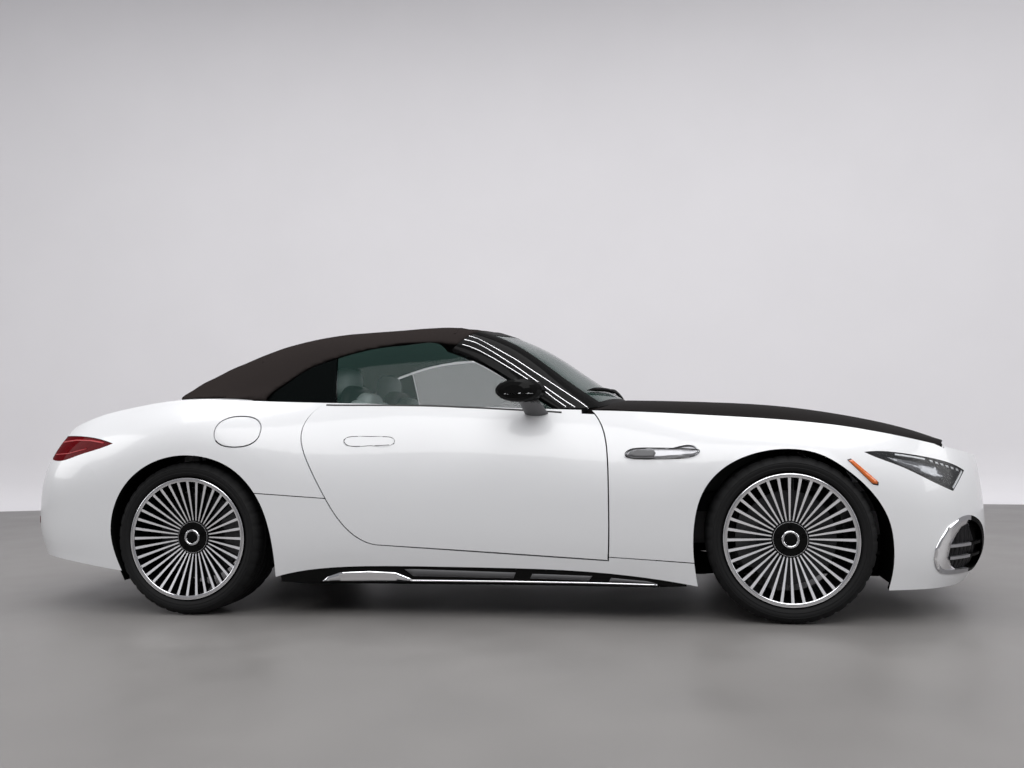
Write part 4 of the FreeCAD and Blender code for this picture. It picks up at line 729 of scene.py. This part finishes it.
def paint_arch_shade_and_liner():
    """The panels' edges and inner faces that look into the wheel openings take the liner's black: partly the
    liner's own colour, partly painted shade on the panels' body-colour returns.
    """
    for name in ("front_fenders", "rear_body", "side_skirts", "front_bumper", "rear_bumper", "sill_trims"):
        mesh = nodes[name].data
        mesh.materials.append(LINER)
        for face in mesh.polygons:
            c, n = face.center, face.normal
            reach = min(math.hypot(c.x - axle, c.z - AXLE_Z) for axle in (FRONT_AXLE, REAR_AXLE))
            inwards = n.y * c.y < 0 or abs(n.y) < 0.35
            if reach < ARCH_REACH and inwards and c.z < ARCH_TOP:
                # painted shade and liner black on the faces inside the wheel openings
                face.material_index = 1


def darken_intakes():
    """The ends of the corner intakes towards the nose are black; the rest of them stays bright."""
    mesh = nodes["air_vents"].data
    mesh.materials.append(GLOSS)
    for face in mesh.polygons:
        if face.center.x > INTAKE_NOSE_X and face.center.z < INTAKE_TOP:
            face.material_index = 1


def add_side_details(side):
    door = [f"door_{side}"]
    side_loop(f"handle_gap_{side}", door, HANDLE, side, SEAL, DOOR.format(side), width=0.0036, height=0.0004)
    around = about(VENT, VENT_MIDDLE, 1.14, 1.8)
    tray = fitted_skin(["front_fenders"], around, side, 0.0024)
    inside = about(VENT, VENT_MIDDLE, 0.965, 0.84)
    decal(f"vent_tray_{side}", inside, tray, VENT_METAL, "root", 0.004, 0.010)
    decal(f"vent_dark_{side}", VENT_DARK, fitted_skin(["front_fenders"], around, side, 0.0030), GREY,
          "root", 0.002, 0.008)
    rim = rounded(VENT, 2)
    bar(f"vent_gap_{side}", [tray(p.x, p.y) for p in rim], SEAL, "root", width=0.0042, height=0.0024,
        closed=True)
    streak = [tray(p.x, p.y) for p in dense([(0.862, 0.706), (1.004, 0.713)], 0.01)]
    bar(f"vent_streak_{side}", streak, GREY, "root", width=0.004, height=0.001, taper=True)
    top = []
    for x in np.linspace(-0.672, 0.430, 60):
        for z in np.arange(0.985, 0.86, -0.002):
            hit = on_side(door, float(x), float(z), SIDES[side])
            if hit and abs(hit[0].y) > 0.80:
                top.append((hit[0], hit[1]))
                break
    bar(f"belt_seal_{side}", smoothed(top, 6), SEAL, DOOR.format(side), width=0.010, height=0.0015)
    skin = ["front_fenders", "front_bumper"]
    marker_rim = [(x + (x - MARKER_MIDDLE[0]) * 0.10, z + (z - MARKER_MIDDLE[1]) * 0.10) for x, z in MARKER]
    decal(f"side_marker_rim_{side}", marker_rim, side_project(skin, side, 0.0012), SEAL, "root")
    decal(f"side_marker_{side}", MARKER, side_project(skin, side, 0.004), AMBER, "root", 0.004)


def add_pillar_strips(side):
    names = ["windscreen_frame", "soft_top"]
    upper = [(-0.034, 1.281), (0.003, 1.271), (0.045, 1.249), (0.122, 1.205), (0.205, 1.156), (0.276, 1.107),
             (0.358, 1.052), (0.445, 0.993), (0.508, 0.950), (0.543, 0.923)]
    middle = [(-0.050, 1.262), (-0.002, 1.250), (0.058, 1.218), (0.129, 1.174), (0.211, 1.120),
              (0.275, 1.074), (0.362, 1.012), (0.431, 0.963), (0.488, 0.926)]
    lower = [(-0.056, 1.237), (-0.018, 1.226), (0.036, 1.201), (0.100, 1.165), (0.165, 1.125), (0.252, 1.070),
             (0.341, 1.008), (0.395, 0.965), (0.449, 0.928)]
    for label, line in (("upper", upper), ("middle", middle), ("lower", lower)):
        hits = [on_side(names, p[0], p[1], SIDES[side]) for p in dense(line, 0.012)]
        hits = smoothed([h for h in hits if h is not None], 4)
        bar(f"pillar_strip_{label}_{side}", hits, CHROME, "root", width=0.0055, height=0.003)


def add_lamps(side):
    lamp = ["headlamps"]
    outline = [(1.716, 0.7135), (1.770, 0.7155), (1.840, 0.7095), (1.982, 0.684), (2.076, 0.656),
               (2.140, 0.628), (2.078, 0.552), (1.993, 0.589), (1.855, 0.655), (1.772, 0.687)]
    glow = [(1.800, 0.692), (1.900, 0.674), (2.010, 0.646), (2.048, 0.606), (2.020, 0.590), (1.930, 0.626),
            (1.840, 0.668)]
    decal(f"headlamp_glow_{side}", glow, side_project(lamp, side, 0.0006), REFLECTOR, "root", 0.0005)
    decal(f"headlamp_cover_{side}", outline, side_project(lamp, side, 0.0026), LENS, "root", 0.0010)
    guide = [(1.838, 0.703), (1.905, 0.692), (1.965, 0.680)]
    side_bar(f"headlamp_guide_{side}", lamp, guide, side, LIGHT_BAR, "root", width=0.010, height=0.0016)
    side_bar(f"headlamp_edge_{side}", lamp, [(2.138, 0.624), (2.082, 0.556)], side, LIGHT_BAR, "root",
             width=0.010, height=0.0016)
    for i in range(6):
        x = 1.985 + 0.024 * i
        z = 0.672 - 0.0080 * i
        block = [(x, z + 0.005), (x + 0.012, z + 0.002), (x + 0.016, z - 0.008), (x + 0.003, z - 0.005)]
        decal(f"headlamp_cell_{i}_{side}", block, side_project(lamp, side, 0.0014), LIGHT_BAR, "root", 0.001)
    tail = ["tail_lamps"]
    side_bar(f"tail_guide_{side}", tail, [(-1.762, 0.797), (-1.85, 0.809), (-1.95, 0.812), (-2.07, 0.802)],
             side, RED_LIGHT, "root", width=0.009, height=0.0018)
    side_bar(f"tail_guide_low_{side}", tail, [(-1.86, 0.770), (-1.97, 0.748), (-2.09, 0.742)], side,
             RED_LIGHT, "root", width=0.006, height=0.0018)
    sign = SIDES[side]
    patch = [(sign * 0.60, 0.408), (sign * 0.60, 0.434), (sign * 0.70, 0.436), (sign * 0.70, 0.404)]
    decal(f"rear_reflector_{side}", patch, end_project(["rear_bumper"], -3.0, 0.003), RED_LENS, "root", 0.003)


INTAKE_FRAME = [(2.173, 0.427), (2.135, 0.435), (2.093, 0.425), (2.045, 0.397), (2.012, 0.354),
                (1.986, 0.309), (1.979, 0.267), (1.993, 0.224), (2.024, 0.203), (2.082, 0.193),
                (2.165, 0.190), (2.150, 0.203), (2.092, 0.209), (2.062, 0.232), (2.046, 0.272),
                (2.058, 0.324), (2.084, 0.363), (2.112, 0.394), (2.150, 0.404)]
INTAKE_ROUND = [(1.95, 0.20), (1.94, 0.26), (1.95, 0.32), (1.98, 0.37), (2.02, 0.42), (2.06, 0.45),
                (2.12, 0.46), (2.18, 0.47), (2.21, 0.47), (2.00, 0.17), (2.06, 0.16), (2.12, 0.155),
                (2.18, 0.155), (1.96, 0.40), (1.99, 0.44)]
INTAKE_BACK = [(2.155, 0.400), (2.110, 0.396), (2.078, 0.362), (2.050, 0.322), (2.038, 0.272), (2.052, 0.228),
               (2.090, 0.210), (2.150, 0.208), (2.190, 0.218), (2.200, 0.300)]


def add_intake(side):
    skin = fitted_skin(["front_bumper"], INTAKE_ROUND, side, 0.0035)
    decal(f"intake_frame_{side}", INTAKE_FRAME, skin, CHROME, "root", 0.010, 0.010)
    decal(f"intake_mesh_{side}", INTAKE_BACK, inner_project(["air_vents"], side, 0.35, -0.0075),
          INTAKE_MESH, "root", 0.001, 0.010)


def add_sills(side):
    trim = ["sill_trims"]
    wedge = [(-0.668, 0.155), (-0.638, 0.178), (-0.579, 0.198), (-0.445, 0.204), (-0.322, 0.198),
             (-0.253, 0.170), (-0.250, 0.156)]
    decal(f"sill_wedge_{side}", wedge, side_project(trim, side, 0.0035), CHROME, "root", 0.003)
    side_bar(f"sill_strip_{side}", trim,
             [(-0.255, 0.1605), (0.178, 0.1600), (0.554, 0.1575), (0.842, 0.1535)], side, CHROME, "root",
             lift=0.001, width=0.013, height=0.004)
    panels = ([(-0.280, 0.213), (-0.242, 0.182), (0.212, 0.176), (0.224, 0.202), (-0.236, 0.214)],
              [(0.297, 0.197), (0.287, 0.176), (0.546, 0.170), (0.561, 0.190)],
              [(0.642, 0.183), (0.632, 0.164), (0.842, 0.160), (0.795, 0.171)])
    for k, panel in enumerate(panels):
        decal(f"sill_panel_{k}_{side}", panel, side_project(trim, side, 0.0025), GREY, "root", 0.002)


MIRROR_FOOT_TOP = 0.950


def add_mirror(side):
    body = DOOR.format(side)
    names = [f"mirror_{side}"]
    sign = SIDES[side]
    mesh = nodes[f"mirror_{side}"].data
    mesh.materials.append(GREY)
    for face in mesh.polygons:
        if face.center.z < MIRROR_FOOT_TOP:
            face.material_index = 1
    path = [cast(names, (float(x), sign * 1.4, 0.984), (0, -sign, 0)) for x in np.linspace(0.205, 0.335, 18)]
    path = [(hit[0] - hit[1] * 0.0012, hit[1]) for hit in path if hit]
    if len(path) > 3:
        bar(f"mirror_signal_{side}", path, LIGHT_BAR, body, width=0.007, height=0.0012)
    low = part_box(f"mirror_{side}")[0]
    ring = []
    for i in range(28):
        t = 2 * math.pi * i / 28
        c, s = math.cos(t), math.sin(t)
        y = sign * (0.985 + 0.052 * math.copysign(abs(c) ** 0.7, c))
        z = 1.000 + 0.036 * math.copysign(abs(s) ** 0.7, s)
        hit = cast(names, (low.x - 0.2, y, z), (1, 0, 0))
        if hit:
            ring.append(hit[0] + Vector((-0.0012, 0, 0)))
    if len(ring) == 28:
        centre = sum(ring, Vector()) / 28
        fan = [(i, (i + 1) % 28, 28) for i in range(28)]
        add_mesh(f"mirror_glass_{side}", ring + [centre], fan, MIRROR_FACE, body)


TRAY_LOW = 0.139
TRAY_HIGH = 0.143


def add_undertray():
    """The dark tray below the engine, with upright edges behind and ahead of the wheels; these upright edges
    are dark screens, painted shade where the view under the car falls into shadow.
    """
    bm = bmesh.new()
    plan = [(0.800, 0.44), (1.05, 0.44), (1.10, 0.40), (1.70, 0.40), (1.76, 0.46), (2.02, 0.46)]
    ring = plan + [(x, -y) for x, y in reversed(plan)]
    low = [bm.verts.new((x, y, TRAY_LOW)) for x, y in ring]
    high = [bm.verts.new((x, y, TRAY_HIGH)) for x, y in ring]
    bm.faces.new(low)
    bm.faces.new(high)
    for i in range(len(ring)):
        k = (i + 1) % len(ring)
        bm.faces.new((low[i], low[k], high[k], high[i]))
    # painted shade: upright dark plates that stand in for the shadow under the car
    for sign in SIDES.values():
        for x_low, x_high in ((0.800, 1.150), (1.650, 2.020)):
            middle = Vector(((x_low + x_high) / 2, sign * 0.438, 0.189))
            size = Vector((x_high - x_low, 0.004, 0.092))
            bmesh.ops.create_cube(bm, size=1.0, matrix=Matrix.LocRotScale(middle, None, size))
    finish_mesh("undertray_and_shade_screens", bm, LINER, "root", smooth=False)


def add_wipers():
    names = ["windscreen", "windscreen_frame"]
    for k, (base, tip) in enumerate((((0.640, -0.10), (0.520, -0.58)), ((0.655, 0.45), (0.60, -0.05)))):
        path = []
        for i in range(25):
            s = i / 24
            x = base[0] + (tip[0] - base[0]) * s
            y = base[1] + (tip[1] - base[1]) * s
            hit = on_top(names, x, y, 0.012)
            if hit:
                path.append(hit)
        if len(path) > 3:
            bar(f"wiper_{k}", path, GLOSS, "root", width=0.016, height=0.010, taper=True)


def add_plates():
    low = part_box("rear_bumper")[0]
    verts = []
    grid = 14
    for i in range(grid + 1):
        for j in range(5):
            y = -0.155 + 0.31 * i / grid
            z = 0.50 + 0.155 * j / 4
            hit = cast(["rear_bumper"], (low.x - 0.5, y, z), (1, 0, 0))
            verts.append((hit[0].x - 0.003 if hit else low.x, y, z))
    plane_x = min(v[0] for v in verts)
    verts = [(max(plane_x, low.x + 0.0005), v[1], v[2]) for v in verts]
    faces = [(i * 5 + j, i * 5 + j + 1, i * 5 + j + 6, i * 5 + j + 5) for i in range(grid) for j in range(4)]
    add_mesh("rear_plate", verts, faces, PLATE, "root", smooth=False)


# Soft top: where its bows stand along the car, and how far the cloth moves between and behind them
ROOF_BOWS = (-0.02, -0.30, -0.66, -1.02, -1.38, -1.72)
BOW_SAG = 0.0045
CLOTH_PULL = 0.0012
REAR_FOLD = 0.0016
CLOTH_VOXEL = 0.011


def add_soft_top():
    source = nodes["soft_top"]
    mesh = source.data.copy()
    obj = bpy.data.objects.new("soft_top_cloth", mesh)
    scene.collection.objects.link(obj)
    bpy.context.view_layer.objects.active = obj
    obj.select_set(True)
    remesh = obj.modifiers.new("skin", "REMESH")
    remesh.mode = "VOXEL"
    remesh.voxel_size = CLOTH_VOXEL
    smooth = obj.modifiers.new("soften", "SMOOTH")
    smooth.factor = 0.5
    smooth.iterations = 6
    dg = bpy.context.evaluated_depsgraph_get()
    mesh = bpy.data.meshes.new_from_object(obj.evaluated_get(dg))
    obj.modifiers.clear()
    obj.data = mesh
    mesh.update()
    normals = [v.normal.copy() for v in mesh.vertices]
    for v, n in zip(mesh.vertices, normals):
        x, y, z = v.co
        nearest = sorted(abs(x - b) for b in ROOF_BOWS)
        gap = nearest[0] + nearest[1]
        share = math.sin(math.pi * nearest[0] / gap) if gap > 0 else 0.0
        sag = BOW_SAG * share * max(0.0, 1 - abs(y) / 0.75)
        pull = CLOTH_PULL * noise.noise(Vector((x * 9, y * 3, z * 9)))
        rear = max(0.0, min(1.0, (-0.95 - x) / 0.5))
        fold = REAR_FOLD * rear * math.sin((x * 0.8 + abs(y)) * 46)
        if n.z > -0.2:
            v.co -= n * (sag + pull + fold)
    mesh.materials.clear()
    mesh.materials.append(CANVAS)
    mesh.polygons.foreach_set("use_smooth", [True] * len(mesh.polygons))
    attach(obj, "root")
    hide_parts("soft_top")
    tree = BVHTree.FromPolygons([v.co for v in mesh.vertices], [tuple(p.vertices) for p in mesh.polygons])

    def top(x, y, lift):
        place, normal, _, _ = tree.ray_cast(Vector((x, y, ABOVE_Z)), Vector((0, 0, -1)))
        if place is None:
            return None
        return place + normal * lift, normal if normal.z > 0 else -normal

    for sign, label in ((1, "left"), (-1, "right")):
        seam = [top(x, sign * (0.43 + 0.05 * math.sin((x + 1.7) * 1.5)), 0.0003)
                for x in np.linspace(-0.03, -1.62, 90)]
        bar(f"roof_seam_{label}", seam, CANVAS, "root", width=0.014, height=0.0022)
    for k, x in enumerate((-0.05, -1.02)):
        seam = [top(x - 0.05 * (y / 0.6) ** 2, y, 0.0003) for y in np.linspace(-0.60, 0.60, 60)]
        bar(f"roof_cross_seam_{k}", seam, CANVAS, "root", width=0.012, height=0.0022)


# Cabin
SEAT_Y = 0.370
DASH_OUTLET_Y = (0.26, 0.56)
DASH_OUTLET_Z = 0.815


def pillow(name, centre, size, finish, body, power=3.2, pleats=0, lean=0.0, crown=0.0):
    """A crowned closed form: full in the middle, drawn in at its edges, with sewn channels across it."""
    verts, faces = [], []
    nu, nv = 40, 28
    for i in range(nv + 1):
        phi = -math.pi / 2 + math.pi * i / nv
        for j in range(nu):
            th = 2 * math.pi * j / nu
            cx = math.copysign(abs(math.cos(phi)) ** (2 / power), math.cos(phi))
            x = math.copysign(abs(math.cos(th)) ** (2 / power), math.cos(th)) * cx
            y = math.copysign(abs(math.sin(th)) ** (2 / power), math.sin(th)) * cx
            z = math.copysign(abs(math.sin(phi)) ** (2 / power), math.sin(phi))
            px, py, pz = x * size[0], y * size[1], z * size[2]
            if pleats and z > 0.2:
                pz -= 0.006 * max(0.0, math.cos(py / size[1] * pleats * math.pi)) ** 6 * (1 - abs(x) ** 4)
            pz += crown * (1 - x * x) * (1 - y * y) * (1 if z > 0 else 0)
            c, s = math.cos(lean), math.sin(lean)
            verts.append(Vector((px * c - pz * s, py, px * s + pz * c)) + Vector(centre))
    for i in range(nv):
        for j in range(nu):
            k = (j + 1) % nu
            faces.append((i * nu + j, i * nu + k, (i + 1) * nu + k, (i + 1) * nu + j))
    return add_mesh(name, verts, faces, finish, body)


def seat_pad(name, centre, size, power, pleats=0, lean=0.0, crown=0.0):
    return pillow(name, centre, size, HIDE, "root", power, pleats, lean, crown)


def add_seats():
    for side, y in (("left", SEAT_Y), ("right", -SEAT_Y)):
        base = pillow(f"seat_base_{side}", (-0.345, y, 0.30), (0.20, 0.185, 0.115), PLASTIC, "root")
        pads = [seat_pad(f"seat_cushion_{side}", (-0.325, y, 0.432), (0.265, 0.150, 0.060), 4.0, 4, 0.10,
                         0.012),
                seat_pad(f"seat_back_{side}", (-0.640, y, 0.770), (0.055, 0.140, 0.262), 4.0, 0, -0.20)]
        for sign, label in ((1, "a"), (-1, "b")):
            pads.append(seat_pad(f"seat_wing_{side}_{label}", (-0.325, y + sign * 0.183, 0.440),
                                 (0.262, 0.048, 0.074), 3.4, 0, 0.10))
            pads.append(seat_pad(f"seat_back_wing_{side}_{label}", (-0.632, y + sign * 0.176, 0.740),
                                 (0.075, 0.048, 0.250), 3.4, 0, -0.20))
            line = [Vector((-0.572 - 0.052 * s, y + sign * 0.128, 0.560 + 0.44 * s))
                    for s in np.linspace(0, 1, 30)]
            tube(f"seat_seam_{side}_{label}", line, 0.0022, STITCH, "root", 6)
            post = [(-0.716, y + sign * 0.05, 0.96), (-0.718, y + sign * 0.05, 1.03)]
            tube(f"head_post_{side}_{label}", post, 0.006, SATIN, "root")
        pads.append(seat_pad(f"head_rest_{side}", (-0.712, y, 1.074), (0.056, 0.128, 0.080), 3.0, 0, -0.12))
        pillow(f"seat_shell_{side}", (-0.715, y, 0.760), (0.040, 0.215, 0.310), DARK_HIDE, "root", 4.4, 0,
               -0.20)
        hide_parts("seats")


def add_cabin():
    """Door cards, carpets, displays and air outlets."""
    for side, sign in SIDES.items():
        door, body = [f"door_{side}"], DOOR.format(side)
        card = [(-0.700, 0.900), (-0.712, 0.800), (-0.655, 0.680), (-0.560, 0.520), (-0.440, 0.385),
                (0.560, 0.345), (0.575, 0.550), (0.560, 0.800), (0.500, 0.870)]
        decal(f"door_card_{side}", card, inner_project(door, side, CABIN_Y, 0.003), DARK_HIDE, body, 0.003,
              0.03)
        panel = [(-0.640, 0.860), (-0.640, 0.760), (-0.580, 0.660), (0.500, 0.640), (0.520, 0.760),
                 (0.470, 0.845)]
        decal(f"door_panel_{side}", panel, inner_project(door, side, CABIN_Y, 0.010), HIDE, body, 0.008, 0.03)
        pillow(f"door_armrest_{side}", (-0.060, sign * 0.800, 0.600), (0.300, 0.036, 0.034), HIDE, body, 3.4)
        pull = [(x, sign * (0.770 - 0.016 * math.sin(math.pi * (x - 0.02) / 0.22)), 0.700) for x in
                np.linspace(0.02, 0.24, 16)]
        tube(f"door_pull_{side}", pull, 0.006, SATIN, body, 8)
        mat = [(-0.760, sign * 0.150), (0.560, sign * 0.150), (0.560, sign * 0.690), (-0.760, sign * 0.690)]
        decal(f"carpet_{side}", mat, lambda x, y: cast(["floor_tub"], (x, y, 0.30), (0, 0, -1)), CARPET,
              "root", -0.006, 0.06)
        for k, y in enumerate(DASH_OUTLET_Y):
            hit = cast(["dashboard"], (CABIN_X, sign * y, DASH_OUTLET_Z), (1, 0, 0))
            if hit:
                ring = [hit[0] + Vector((-0.006, 0.036 * math.cos(t), 0.036 * math.sin(t)))
                        for t in np.linspace(0, 2 * math.pi, 33)[:-1]]
                tube(f"outlet_ring_{side}_{k}", ring, 0.004, CHROME, "root", 8, closed=True)
                disc = [(sign * y + 0.034 * math.cos(t), DASH_OUTLET_Z + 0.034 * math.sin(t))
                        for t in np.linspace(0, 2 * math.pi, 25)[:-1]]
                decal(f"outlet_{side}_{k}", disc, end_project(["dashboard"], CABIN_X, 0.002), GLOSS, "root",
                      0.002, 0.02)
    decal("centre_display", [(-0.135, 0.705), (0.135, 0.705), (0.125, 0.865), (-0.125, 0.865)],
          end_project(["dashboard"], CABIN_X, 0.008), DISPLAY, "root", 0.008, 0.02)
    decal("driver_display", [(0.250, 0.882), (0.490, 0.882), (0.482, 0.912), (0.258, 0.912)],
          end_project(["dashboard"], CABIN_X, 0.001), DISPLAY, "root", 0.001, 0.02)
    pillow("console_armrest", (-0.400, 0.0, 0.588), (0.170, 0.078, 0.024), HIDE, "root", 3.6)


def build():
    add_camera()
    paint_nodes()
    paint_arch_shade_and_liner()
    darken_intakes()
    add_stage()
    add_lights()
    for end, x, width, dish in (("front", FRONT_AXLE, 0.275, 0.034), ("rear", REAR_AXLE, 0.300, 0.058)):
        for side in SIDES:
            add_tyre(end, side, x, width)
            add_wheel_trim(end, side, x, dish)
    for side in SIDES:
        add_side_details(side)
        add_pillar_strips(side)
        add_lamps(side)
        add_intake(side)
        add_sills(side)
        add_mirror(side)
    add_undertray()
    add_wipers()
    add_plates()
    add_soft_top()
    add_seats()
    add_cabin()


build()
